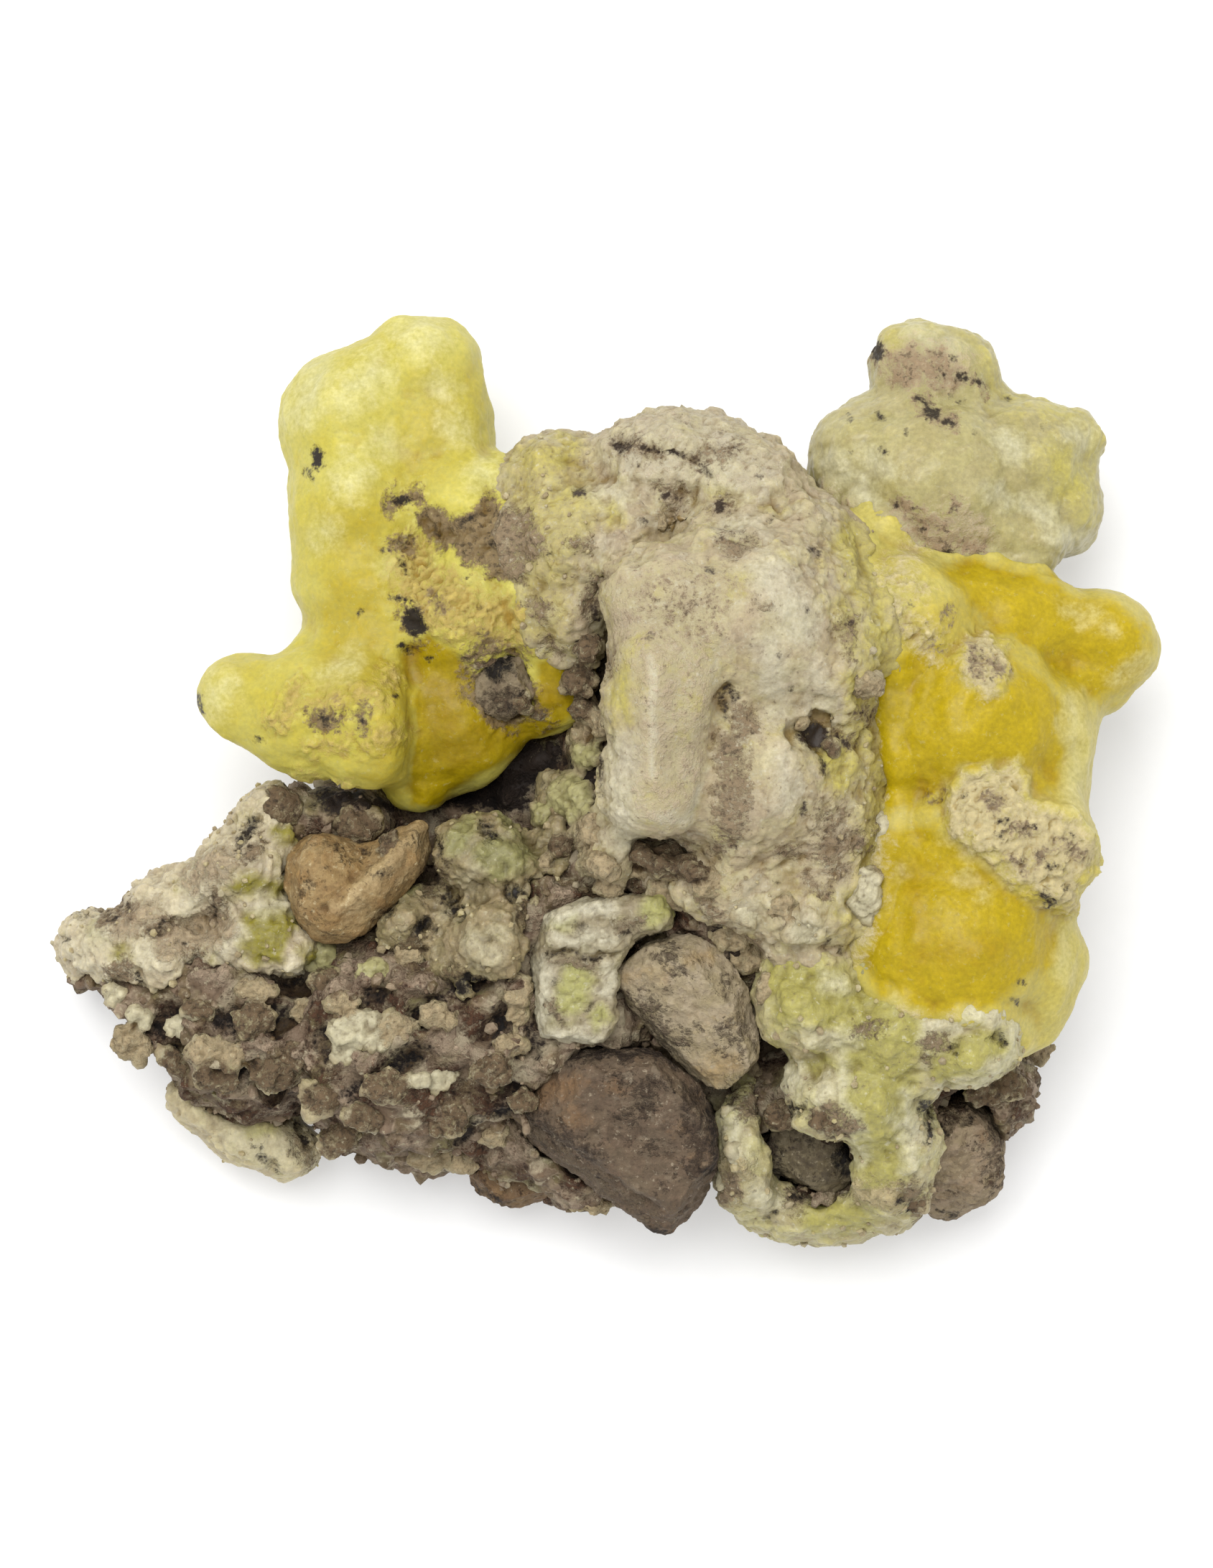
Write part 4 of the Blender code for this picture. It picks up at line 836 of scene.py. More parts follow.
glassy = cover_of(places, facings, [(5.0, (22.6, 22.8), (25.0, 22.4))], 2.0, 0.3)
relief(pale_growth, 2.6, -0.45, kind="VORONOI", within=1 - 0.8 * glassy, weight_1=1.0)
pack_grains(pale_growth, 1.5, 0.12, 71, within=1 - 0.8 * glassy)
store(pale_growth, "gap", 0.3 * read(pale_growth, "gap"))
relief(pale_growth, 0.7, 0.2, noise_depth=1, within=1 - 0.7 * glassy)
find_hollows(pale_growth, 22, 0.4)
for field, marks, strength, soft, ragged in (
        ("deep", PALE_YELLOW, 0.6, 1.8, 0.4),
        ("pale", PALE_WHITE, 0.75, 0.7, 0.3),
        ("crust", [(3.6, (21.4, 30), (24.6, 29.4)), (3, (21.6, 18.2), (26.2, 17.6)), (1.6, (15.6, 20.2),
                                                                                      (19.8, 17.4))], 0.75, 1.0, 0.5),
        ("stain", PALE_STAIN, 0.75, 0.6, 0.4),
        ("dark", PALE_DARK, 0.9, 0.4, 0.15)):
    paint(pale_growth, field, marks, strength, soft, ragged)
dress(pale_growth, ["pale_brucite"], mineral(
    "pale brucite", "BEB480", "B0A66A", "C8BC50", "D2CCA8", "BFAE8C", "A08A6C", "3A3022", "B8AC78",
    mottle_scale=330.0, grains=0.15, specks=0.12, flecks=0.3, smooth=0.34, rough=0.8, relief_height=0.08,
    glow=0.3, glow_reach=1.2))

# The cream and white mass in the middle: a crumbly crust with a smooth tablet-like slab standing on it, a
# grey-tan cap, a greenish left shoulder, and dark patches, with painted shade in its holes and creases and a
# painted highlight along the slab's ridge.
SLAB = (0, (3.5, 15.8), (1.2, 15), (-0.6, 13.2), (0.3, 10.4), (1.9, 7.4), (2, 3), (1.8, -2.6), (4.5, -3.7),
        (6.2, -2.2), (6.8, 0), (7, 3), (7.5, 6), (8, 10), (9.4, 14.4))
CREAM_WHITE = [
    (1.2, (-0.8, 20.6), (1.4, 20.4)), (0.8, (-0.2, 17)), (2.4, (1, 2), (1, -4)), (1.8, (10, -9.5)),
    (2.2, (14, -10.7)), (3, (11.6, 14.6), (13.6, 11)), (2.2, (11.4, 9.4), (12, 5)), (1.6, (14.6, 7.6), (15.2, 5.4)),
    (1.6, (12.4, 1.4), (12.8, -1.6)), (1.2, (8, 17.8), (10.4, 18.4)),
]
CREAM_GREEN = [
    (1.8, (1.2, 7.6), (1, 4.4)), (1.8, (0.4, 19), (0.6, 18.8)), (2.8, (-5.4, 22.6), (-2.8, 23.4)),
    (3.2, (16.4, 1.6), (16.6, 0.4)), (3.4, (19.6, 15.2), (20.4, 14.2)), (3, (17.4, 17.4), (18.6, 16.2)),
    (1.6, (16.8, 12.8), (17.6, 9.6)), (1.8, (-2.6, -0.8), (-2.9, -1.8)), (1.4, (19.2, 12), (19.8, 8.4)),
    (2, (17.8, 6.8), (18.2, 2)), (1.4, (18.4, -7.6), (18.2, -10.6)), (1.6, (-4, 19.6), (-2.6, 20.4)),
]
CREAM_GREY = [
    (0, (-1.2, 24.4), (1, 25.6), (4, 26.6), (8, 26.2), (10.2, 25), (13, 22.6), (12.4, 20.6), (9, 20.4), (6.4, 21),
     (3, 21.2), (0.4, 21.8)),
    (2.4, (-4.4, 17.8), (-2.4, 17.2)), (2.2, (-3.4, 14), (-1.8, 12)), (2.6, (4, 18.6), (7.4, 18.2)),
    (1.8, (13.6, 19.4), (15, 17.4)), (2, (2.2, -5.4), (3.4, -6.6)), (2.8, (7, -6), (9, -8)),
]
CREAM_STAIN = [
    (2.3, (8.8, 2.4), (8.9, -0.6), (8.7, -3.2)), (1.5, (10, 3.5), (9.6, 4.4)), (1.4, (8.5, 16.9), (9.6, 16.7)),
    (0.7, (17.3, 9.6), (17.3, 8.9)), (1.7, (15.2, -4.9), (17.8, -4.5)), (1.4, (19.6, -3.6), (20.2, -3.5)),
    (1.7, (3.2, -5.4), (5.4, -5.4)), (1.3, (8.2, -4.8)), (0.8, (12.6, -5.2), (13.2, -5.2)),
    (1, (-2.2, 17), (-1.6, 16.8)), (1.2, (-1.3, 12.2), (-0.7, 14)), (1.6, (-0.7, 8.9), (-0.3, 8.1)),
    (0.9, (17.9, 4.6), (18.9, 4.6)), (1.2, (16.4, 2.8), (17, 2.6)), (0.9, (16.8, -2.2)), (0.8, (11, 12.3)),
    (1, (17.2, 11.4), (17, 10.4)), (1.2, (1, 23.9), (4, 23.4)), (1.4, (10, -12.8), (10.6, -12.2)),
    (1.2, (4, 20.4), (5.6, 20)), (0.9, (7.8, 19.6), (8.2, 19.4)), (1.1, (15.6, -2.4), (16.6, -6.4)),
    (0.9, (6.2, 22.9), (9.2, 23.6)), (0.8, (14.2, -6.8), (15.4, -8)), (1, (6.8, -8.4), (8.4, -10.6)),
]
# Dark spots, with painted shade in the holes and along the creases at the cap and the slab's upper left edge.
CREAM_DARK = [
    (0.35, (0.8, 24.1), (4, 23.4), (6.3, 22.9), (7.4, 21.8)), (0.8, (0.7, 23.9), (1, 23.7)), (0.4, (9.2, 23.6)),
    (0.6, (3.8, 20.3), (4.4, 20.2)), (0.4, (5.3, 20)), (0.4, (2.5, 18.4)), (0.6, (8, 19.7), (8, 19.3)),
    (0.35, (7.9, 17.3)), (0.4, (14.5, 16.4), (15, 16.2)), (0.4, (7.1, 14.9), (7.4, 14.7)), (0.4, (14.1, 12)),
    (0.45, (17.2, 11.2)), (0.3, (6.3, 12.4)), (0.35, (3, 10.1)), (0.5, (-2.1, 20.5), (-1.8, 20.5)),
    (1.9, (14.4, 3.3), (14.9, 3)), (0.6, (16.5, 2.9), (17, 2.5)), (0.35, (15.3, 1.5), (15.3, 0.5)),
    (0.3, (0.3, 2.9)), (1.2, (3.6, -5.2), (4.8, -5.6)), (0.35, (14, -1.7), (14, -2.5)), (0.45, (15.7, -11.6)),
    (0.4, (16.6, -12.1)), (0.8, (6, -10.8), (8.4, -12)), (0.7, (-0.9, 9.2), (-1.2, 5)),
    (0.35, (-0.6, 4.6), (-0.5, -1)), (0.35, (8.2, 5.1), (7.9, 5.9), (8.4, 6.7), (9.2, 5.9), (8.4, 5.1), (8.2, 4.4)),
    (0.3, (18, 4.7), (18.8, 4.5)), (0.5, (-1, 12.4), (-0.8, 11.6)), (0.3, (9, -4.8)), (0.3, (12, -7.2)),
    (0.35, (-3.4, -4.8)), (0.6, (-2.8, -7.3)), (0.3, (11.6, 18.6)), (0.3, (-4.2, 16.2)), (0.3, (10.8, 21.6)),
    (0.3, (2.2, 22.6)), (0.3, (13, 6.4)), (0.3, (12.2, 8.8)),
]
CREAM_HOLES = [
    (1.8, (14, 3.5), (14.9, 2.8), (15.4, 3.4)), (1, (8.1, 5.4), (8.6, 6.4)), (1.4, (3.4, -5.2), (4.8, -5.6)),
    (1.6, (-0.8, 9), (-0.6, 7.6)), (1, (6, -10.8), (8.4, -12)), (0.8, (16.6, 2.8)),
]
cream_mass = skin_of("cream_crust", "cream_mass", 0.54, 7, swell=0.28)
close_seams(cream_mass)
press(cream_mass, [(0, (18, 7.5), (23, 7.5), (23, -16), (18.2, -16), (18.6, -9), (20, -4.6), (18, -1))], -0.9,
      soft=1.2, ragged=0.9)
places, facings = shape_of(cream_mass)
on_slab = cover_of(places, facings, [SLAB], 0.6, 0.15)
put_back(cream_mass, places + facings * (0.35 * on_slab)[:, None])
for marks, height, soft, ragged in (
        ([(0.9, (3.2, 8.5), (3, 4), (3.3, 0))], 0.45, 0.6, 0.15),
        ([(1.4, (5, 8), (5, 0))], -0.3, 0.8, 0.15),
        ([(0.6, (-1.3, 12), (-0.7, 14), (0.8, 15.3), (3, 15.9))], -0.45, 0.4, 0.15),
        ([(0.3, (0.6, 24), (4, 23.3), (6.3, 22.8), (7.4, 21.6))], -0.5, 0.3, 0.15),
        (CREAM_HOLES[:1], -1.0, 0.6, 0.7),
        (CREAM_HOLES[1:], -0.45, 0.6, 0.3),
        ([(2.6, (3.2, 18.8), (6, 18.2))], 1.5, 1.8, 0.15),
        ([(1.6, (-1.2, 14.4), (0.4, 15.2))], 0.6, 1.2, 0.15),
        (CREAM_GREY[:1], 0.45, 0.5, 0.15)):
    press(cream_mass, marks, height, soft, ragged)
calm = cover_of(places, facings, [(0, (-0.6, 13.2), (3.5, 16.2), (12.5, 16.0), (15.4, 9.0), (13.4, 4.6), (12.0, -3.4),
                                   (1.6, -3.8), (0.4, 4.0))], 1.2, 0.4)
crumbly = np.clip(1.05 - np.maximum(on_slab, 0.7 * calm), 0.1, 1)
relief(cream_mass, 2.6, 1.0, noise_depth=2, within=crumbly)
pack_grains(cream_mass, 1.25, 0.32, 81, within=crumbly)
relief(cream_mass, 0.7, 0.5, noise_depth=2, within=crumbly)
find_hollows(cream_mass, 26, 0.4)
for field, marks, strength, soft, ragged in (
        ("deep", CREAM_GREEN, 0.6, 0.9, 0.4),
        ("deep", [(0, (-7.5, 9.5), (-7.5, 24.5), (-1.5, 24.5), (0.2, 19.5), (-2.2, 15), (-2.6, 9.4))], 0.42, 1.0,
         0.25),
        ("deep", [(3.4, (17.4, 17), (19.6, 12), (19.8, 4), (19.4, -4), (18.6, -12))], 0.6, 1.4, 0.6),
        ("pale", [(0, (-1, 24.2), (4, 26.4), (8, 26), (12.6, 22.4), (11, 20), (1, 21))], 0.4, 1.0, 0.25),
        ("crust", [SLAB], 0.3, 0.5, 0.25),
        ("stain", [(0, (1.6, 12), (3.4, 15.2), (8.6, 14.2), (8, 10), (4.2, 10.6))], 0.3, 1.4, 0.25),
        # Painted highlight along the slab's ridge and its lower edge.
        ("pale", [(0.5, (3.1, 8.5), (3.2, 4), (3.2, 0.4)), (0.4, (3.4, -2.6), (5.6, -2.9), (6.6, -0.4))], 0.9, 0.3,
         0.25),
        ("pale", CREAM_WHITE, 0.6, 0.8, 0.2),
        ("crust", CREAM_GREY, 0.15, 1.0, 0.4),
        ("stain", CREAM_STAIN + HORN_STAIN, 0.8, 0.6, 0.35),
        ("dark", CREAM_DARK, 0.9, 0.4, 0.12)):
    paint(cream_mass, field, marks, strength, soft, ragged)
store(cream_mass, "tone", read(cream_mass, "tone") * (on_slab < 0.5))
dress(cream_mass, ["cream_crust"], mineral(
    "cream crust", "C2B68E", "B9AB84", "BEB24A", "CDC6AC", "B9A68C", "927F64", "3F3328", "BCAC88",
    mottle_scale=420.0, grains=0.6, specks=0.7, flecks=0.6, smooth=0.5, rough=0.85, relief_height=0.14,
    glow=0.15, glow_reach=0.8))

# The grainy crusts that coat the edges of the breccia: pale green and white at the lower right, olive lumps below
# the dark hollow, cream on the left wing, and the pale lobe below it.
CRUSTS = {
    # node: (piece, cell mm, slot, large relief mm, colours as in the surface group)
    "green_crust": ("green_crust_face", 0.44, "green_crust", 0.7,
                    ("BFB67E", "C6BD8C", "AFA75C", "D4CEB0", "B9A980", "8C7A60", "2E261D", "ACA070")),
    "middle_crust": ("olive_crust_face", 0.38, "olive_crust", 1.1,
                     ("91845F", "9D8F6B", "94905E", "C0B796", "A6926E", "6C5B42", "241D16", "82734F")),
    "wing_crust": ("wing_crust_face", 0.38, "cream_crust", 0.9,
                   ("D0C3A0", "D4C8A8", "8E852E", "D4CCB0", "B4A284", "8C795F", "2E261D", "A89878")),
    "tongue": ("tongue_face", 0.36, "green_crust", 0.3,
               ("D0C29A", "D6CAA0", "BEB676", "CDC4A2", "B6A480", "948466", "2E261D", "B0A074")),
}
CRUST_MARKS = {
    "green_crust": {
        "deep": [
            (5, (14, -14.8), (20, -17.6), (19.6, -23)), (3, (24.4, -20.4), (27.4, -19)),
            (3.4, (18.6, -24), (19.8, -29)), (3.2, (12.8, -13.7), (13.4, -13.4)), (2, (12, -15)),
            (1.4, (12.2, -17.2), (13.4, -16.8)), (2, (15.8, -16.2), (16.4, -16.2)),
            (1.3, (14.4, -20.3), (17.6, -20.1)), (1.2, (12, -19.3)), (2.2, (20.3, -18.8), (20.7, -18.8)),
            (3, (18.7, -22.6), (18.9, -21.4)), (1.6, (26, -20.8), (26.7, -20.6)), (3, (20, -26), (20, -28)),
            (2.2, (19, -25)), (2.4, (15, -31.6), (18.4, -31.6)),
        ],
        "pale": [
            (0.8, (22.6, -18.6), (24, -16.8), (27, -16.2), (29.2, -17), (29, -19.4), (27, -21.6), (24, -22.2)),
            (0.9, (16.8, -20), (17.2, -23.6), (18.4, -27.4)), (1, (21.4, -22.6), (21.8, -28)),
            (1, (15.6, -14.2), (17.2, -14.8)), (1, (14.4, -18.5), (17.6, -18.5)),
            (2.2, (12.6, -21.6), (13.4, -21.4)), (1.8, (15.2, -22.4), (15.8, -22.2)),
            (1, (28.7, -17.6), (28.7, -19.6)), (1.2, (23.6, -17.4), (25.6, -16.6), (28, -16.8)),
            (1.4, (8.8, -24.5), (9.4, -27.2)), (1.2, (10.4, -29.8), (12.3, -30.6)),
            (1.2, (21.4, -24.2), (21.8, -27)),
        ],
        "crust": [(2.6, (8.6, -30), (9, -28.4)), (1.8, (18.2, -29.8), (20.6, -30))],
        "stain": [
            (1.4, (18.2, -17.8), (18.9, -17.6)), (1.2, (22.9, -19.3), (23.6, -18.8)),
            (1.8, (31.2, -19.4), (31.6, -19.2)), (2.2, (10.2, -23.6), (11.6, -22.6)),
            (2, (28, -22.6), (29.8, -21.4)), (1.4, (21.8, -29.6), (22.6, -31)), (1.4, (13.4, -30.4), (14, -30.2)),
            (1.8, (8.2, -30.2), (8.8, -29.2)), (1.6, (15.4, -24), (17, -25)),
        ],
        "dark": [
            (0.5, (24.7, -19.2), (25.2, -19)), (0.5, (27.5, -18.6), (28.1, -18.4)),
            (1.2, (11.4, -23.6), (13.6, -23.8)), (0.7, (21, -30.4), (21.6, -30.6)),
            (0.7, (13.5, -30.3), (13.9, -30.3)), (0.5, (10.2, -18.6), (10.6, -20)), (0.9, (23, -23.4), (23.2, -26)),
            (0.35, (16.6, -29.8)), (0.4, (11.6, -31.6)),
        ],
    },
    "middle_crust": {
        "deep": [
            (2.4, (-10.8, -4.4), (-10.2, -3.6)), (3, (-8.4, -5.6), (-6.6, -5.4)),
            (1.6, (-14.2, -7.4), (-13.6, -7.2)), (2.2, (-6.9, -2.8)),
        ],
        "pale": [
            (0.9, (-9.8, -7.2), (-9.6, -6.3)), (1.4, (-9.8, -11.4), (-8.4, -12.8)),
            (1, (-7.6, -10.6), (-7.2, -11.2)), (1, (-6.4, -2.2)), (0.8, (-11.6, -9.4)),
        ],
        "stain": [
            (2.2, (-14.5, -12.6), (-14.1, -12)), (1.6, (-6.6, -15.2)), (1.2, (-5.8, -9.8), (-5.8, -9.2)),
            (1.2, (-3.3, -4.8)), (1.6, (-12.6, -8), (-12, -6.6)), (1.2, (-11.2, -13.8), (-10.2, -14.4)),
        ],
        "dark": [
            (1.4, (-13.9, -10.9), (-13, -10.5)), (0.5, (-5.5, -7.4)), (0.8, (-3, -7.6), (-2.6, -7)),
            (1, (-10.6, -15), (-9.4, -14.4)), (0.6, (-11.4, -8.6), (-10.6, -9.4)), (0.6, (-7.4, -7.8), (-6.2, -8.6)),
            (0.5, (-12.6, -3.4), (-12.2, -5.2)), (0.5, (-8.8, -3.2), (-8.4, -4.4)), (0.6, (-15.4, -9.6)),
        ],
    },
    "wing_crust": {
        "deep": [
            (3.6, (-24.6, -11.6), (-24, -10.2)), (2.8, (-20.8, -13.2), (-20, -12.8)),
            (1.6, (-26.8, -7.6), (-23.4, -7.8)), (1.4, (-23.4, -3.8), (-22.6, -3.8)), (1.4, (-37, -11.3)),
            (1.2, (-35.4, -12.4)),
        ],
        "pale": [
            (2, (-30.4, -14.6), (-27.6, -14.4)), (1.2, (-37.4, -11.6), (-36.4, -11)),
            (1.2, (-33.8, -12.4), (-32.2, -13)), (1.4, (-25, -9), (-23.2, -9)), (1, (-30.6, -9.6), (-29.2, -8)),
            (1.2, (-38.6, -12.4), (-38, -13.2)), (1, (-22.6, -13.6), (-21.6, -14.4)),
            (1.2, (-27.6, -12.6), (-26.6, -11)),
        ],
        "crust": [(2.6, (-31.6, -11.6), (-28, -10.8)), (2, (-29.4, -7), (-27.8, -6)), (2, (-35, -10.4), (-33, -9.6))],
        "stain": [
            (1.2, (-32.9, -10.7), (-31.7, -10.5)), (1.2, (-28.1, -9.8), (-27.9, -8.8)),
            (1.6, (-35.6, -14.2), (-35.2, -13.8)), (1.4, (-36.3, -9.9), (-34.6, -9.4)),
            (0.9, (-30.4, -12.6), (-29.6, -12.8)), (1.2, (-26, -5.4), (-25.2, -4.6)),
        ],
        "dark": [
            (0.8, (-26.8, -4.8), (-25.4, -3.1)), (0.35, (-36.2, -9.8), (-35.8, -9.8)),
            (0.35, (-38.2, -9.6), (-37.8, -9.5)), (0.35, (-34.6, -9.2)), (0.5, (-33.6, -14.4)),
            (0.4, (-32.5, -10.6), (-32, -10.5)), (0.5, (-28.1, -9.2)), (0.4, (-35.4, -14.2)), (0.35, (-30.8, -11.8)),
            (0.4, (-27.6, -13.6)), (0.35, (-39, -11.6)),
        ],
    },
    "tongue": {
        "dark": [(0.3, (-25.6, -26.6), (-24.6, -27.5), (-24, -28.4)), (0.6, (-22.4, -25), (-21.8, -26.4))],
        "stain": [(1.2, (-22.6, -26), (-22, -27.6))],
        "pale": [(1.8, (-27.2, -25.8), (-25.2, -27.2)), (1.4, (-23.8, -26.4), (-23.4, -27.6))],
        "deep": [(1.2, (-25.8, -25.4), (-24.8, -25.8))],
    },
}
for node_name, (piece_name, cell, slot, height, colours) in CRUSTS.items():
    crust = skin_of(node_name, piece_name, cell, 4, swell=0.28)
    close_seams(crust)
    marks = CRUST_MARKS[node_name]
    press(crust, marks.get("pale", []), 0.3, soft=0.5)
    # Dark marks are sunk in and painted dark: dark spots, and painted shade in the pits and crevices they mark.
    press(crust, marks.get("dark", []), -0.3, soft=0.5, ragged=0.4)
    relief(crust, 2.4, height * 1.3, noise_depth=2)
    pack_grains(crust, 2.0 if node_name == "green_crust" else 1.1, height * 0.35, 91)
    store(crust, "gap", 0.6 * read(crust, "gap"))
    relief(crust, 0.6, 0.35, noise_depth=2)
    find_hollows(crust, 20, 0.4)
    for field, lines in marks.items():
        paint(crust, field, lines, strength={"deep": 0.8, "pale": 0.65}.get(field, 0.85), soft=0.6, ragged=0.4)
    dress(crust, [node_name], mineral(
        node_name.replace("_", " ") + " surface", *colours, mottle_scale=650.0, grains=0.55, specks=0.6,
        flecks=0.6, smooth=0.45, rough=0.85, relief_height=0.2, glow=0.2, glow_reach=0.8))

# Lumps of crust and stone that fill the seams between the growths, cemented there as they grew. Each is a ball
# sunk in the solids, and all of them are melted into one piece, roughened and grained.
KNOBS = {
    # x, y, half length, half width (mm), turn (degrees), rise (mm)
    "pale": [
        (19.8, -3.9, 2, 1.6, 10, 0.5), (18.4, -8.2, 1.2, 1.9, 0, 0.6), (-18, -17.9, 1.9, 1.2, 10, 0),
        (-19, -19.3, 1.1, 0.9, 0, 0), (-16.2, -18.6, 1.2, 0.9, 0, 0), (-12, -21.2, 1.4, 0.9, 20, 0),
        (10, -9.5, 0.9, 0.8, 0, 0), (14, -10.7, 1.2, 1, 0, 0), (9, -24.8, 0.8, 1.2, 0, 0),
        (9.4, -27.2, 0.8, 1.1, 0, 0), (-13.4, -21.6, 0.8, 0.6, 0, 0), (-35.5, -15.6, 1, 0.7, -40, 0),
        (-33.8, -17.2, 1.1, 0.8, -40, 0), (-30.8, -17.8, 1.1, 0.9, 0, 0), (8.4, -29, 0.8, 1, 0, 0),
    ],
    "deep": [
        (-2.7, -1.2, 1.5, 1.6, 0, 2.5), (-4.6, -2.4, 1, 1, 0, 1), (-1.6, 2, 0.9, 1.2, 0, 2.5),
        (-16.8, -13.8, 1.3, 1, 0, 0), (-20.5, -12.8, 1.4, 1.1, 0, 0), (18.8, -13.6, 1.2, 1, 0, 0),
    ],
    "crust": [
        (20.2, -5.6, 1.3, 1.1, 0, 0.5), (18.6, 6.6, 1.2, 1, 0, 0.6), (3.3, 18.8, 1.5, 1.2, 0, 1.2),
        (5.3, 18.5, 1.4, 1.2, 0, 1.2), (13.6, 4, 0.6, 0.4, 30, 0.3), (-0.9, 4.2, 0.8, 1.3, 0, 3),
        (-1.2, -3.8, 1, 1.4, 0, 2.5), (-0.6, -6, 1.2, 1, 0, 2), (-1.9, 3.4, 0.9, 0.8, 0, 1.5),
        (-15, -18, 1.4, 1.1, 0, 0), (-34.5, -19, 1.5, 1.1, -30, 0), (-19, -16, 1.2, 1, 0, 0),
        (-6.5, -15.2, 1, 1.2, 0, 0), (-6.6, -16.8, 0.9, 0.8, 0, 0), (-14.3, -12.3, 1.1, 1.3, 0, 0),
        (4.5, -8.2, 1.6, 1.2, 0, 0), (7.2, -7.4, 1.4, 1, 0, 0), (9, -11, 1.2, 0.9, 0, 0),
        (10.2, -12.6, 1.4, 1.3, 0, 0), (12.4, -9.2, 1.2, 1, 0, 0), (11.4, -15, 0.9, 1.1, 0, 0),
        (11.2, -18, 0.8, 1.3, 0, 0), (10.6, -21.5, 0.9, 1.2, 0, 0), (2, -6.4, 1.2, 0.8, 0, 0),
        (-1, -3.4, 0.8, 1.2, 0, 0), (-0.9, 6.2, 0.6, 0.9, 0, 0), (-4.6, -6.2, 0.9, 0.8, 0, 0),
        (-13, -27.3, 1.6, 1.1, 0, 0), (-8.5, -25.4, 1.2, 0.9, 0, 0), (-27, -19.8, 1.4, 1, 0, 0),
        (-28.8, -19.6, 1.5, 1.2, 0, 0), (-12.2, -16.9, 1.2, 1, 0, 0), (-7, -19, 1.2, 0.9, 30, 0),
        (0.2, -7.6, 1.2, 0.7, 0, 0), (31.4, -20, 1.3, 0.7, 20, 0), (-25.2, -15, 1.4, 0.9, 0, 0),
        (-21.8, -16.8, 1.2, 0.9, 0, 0), (-10.2, -27.6, 1.2, 0.9, 0, 0), (-1.2, -30.8, 1.4, 0.9, -15, 0),
    ],
    "stain": [
        (15.8, 2.3, 0.7, 0.5, 0, 0.3), (4.2, -5.6, 1.8, 1.1, 0, 2.6), (6, -6.4, 1.2, 1, 0, 2.4),
        (2.2, -5.2, 0.9, 0.9, 0, 2), (-2.2, 7.4, 1.2, 1.1, 0, 2.5), (-2, 5.4, 1, 0.9, 0, 2),
        (-1.6, 9.4, 0.9, 1.1, 0, 3), (-8.6, 8.4, 1, 0.7, 20, 0), (-6.2, 5.6, 0.9, 0.7, -30, 0),
        (-8.8, 5.4, 0.6, 0.6, 0, 0), (-5, 4.8, 0.8, 0.4, -20, 0), (-25.5, -17.5, 1.5, 1.2, 0, 0),
        (-24, -21, 1.8, 1.3, 0, 0), (-22.3, -19.6, 1.2, 1, 0, 0), (-11.5, -24.5, 1.5, 1.2, 0, 0),
        (-23.4, -1.8, 1.3, 1.3, 0, 0), (-18, -3.4, 1.5, 1.2, 0, 0), (-15.5, -4.6, 1, 1.1, 0, 0),
        (-3.3, -4.8, 1, 0.9, 0, 0), (-5.8, -9.5, 0.8, 0.9, 0, 0), (4.3, -5.6, 1.6, 1, 0, 0),
        (27.2, -22.6, 1.4, 1, 0, 0), (-19.3, -26, 1.5, 1.2, 0, 0), (-15.8, -22, 1.6, 1.2, 0, 0),
        (-29.4, -16.4, 1.2, 0.8, 0, 0), (-20.6, -22.8, 1.4, 1.1, 0, 0), (12.8, -24.2, 1.4, 1, 0, 0),
        (15.8, -24.4, 1.4, 0.9, 0, 0), (-8.2, -20.8, 1.4, 1.2, 0, 0), (-17.4, -24.2, 1.4, 1, 0, 0),
        (-20.2, -14.6, 1.2, 0.9, 0, 0), (-28, -21.6, 1.6, 1, -25, 0), (-6, -23, 1, 0.9, 0, 0),
        (29.2, -22, 1.2, 1, 0, 0), (-31.2, -20.4, 1.2, 0.9, -30, 0), (22, -30.6, 0.9, 0.8, 0, 0),
    ],
}


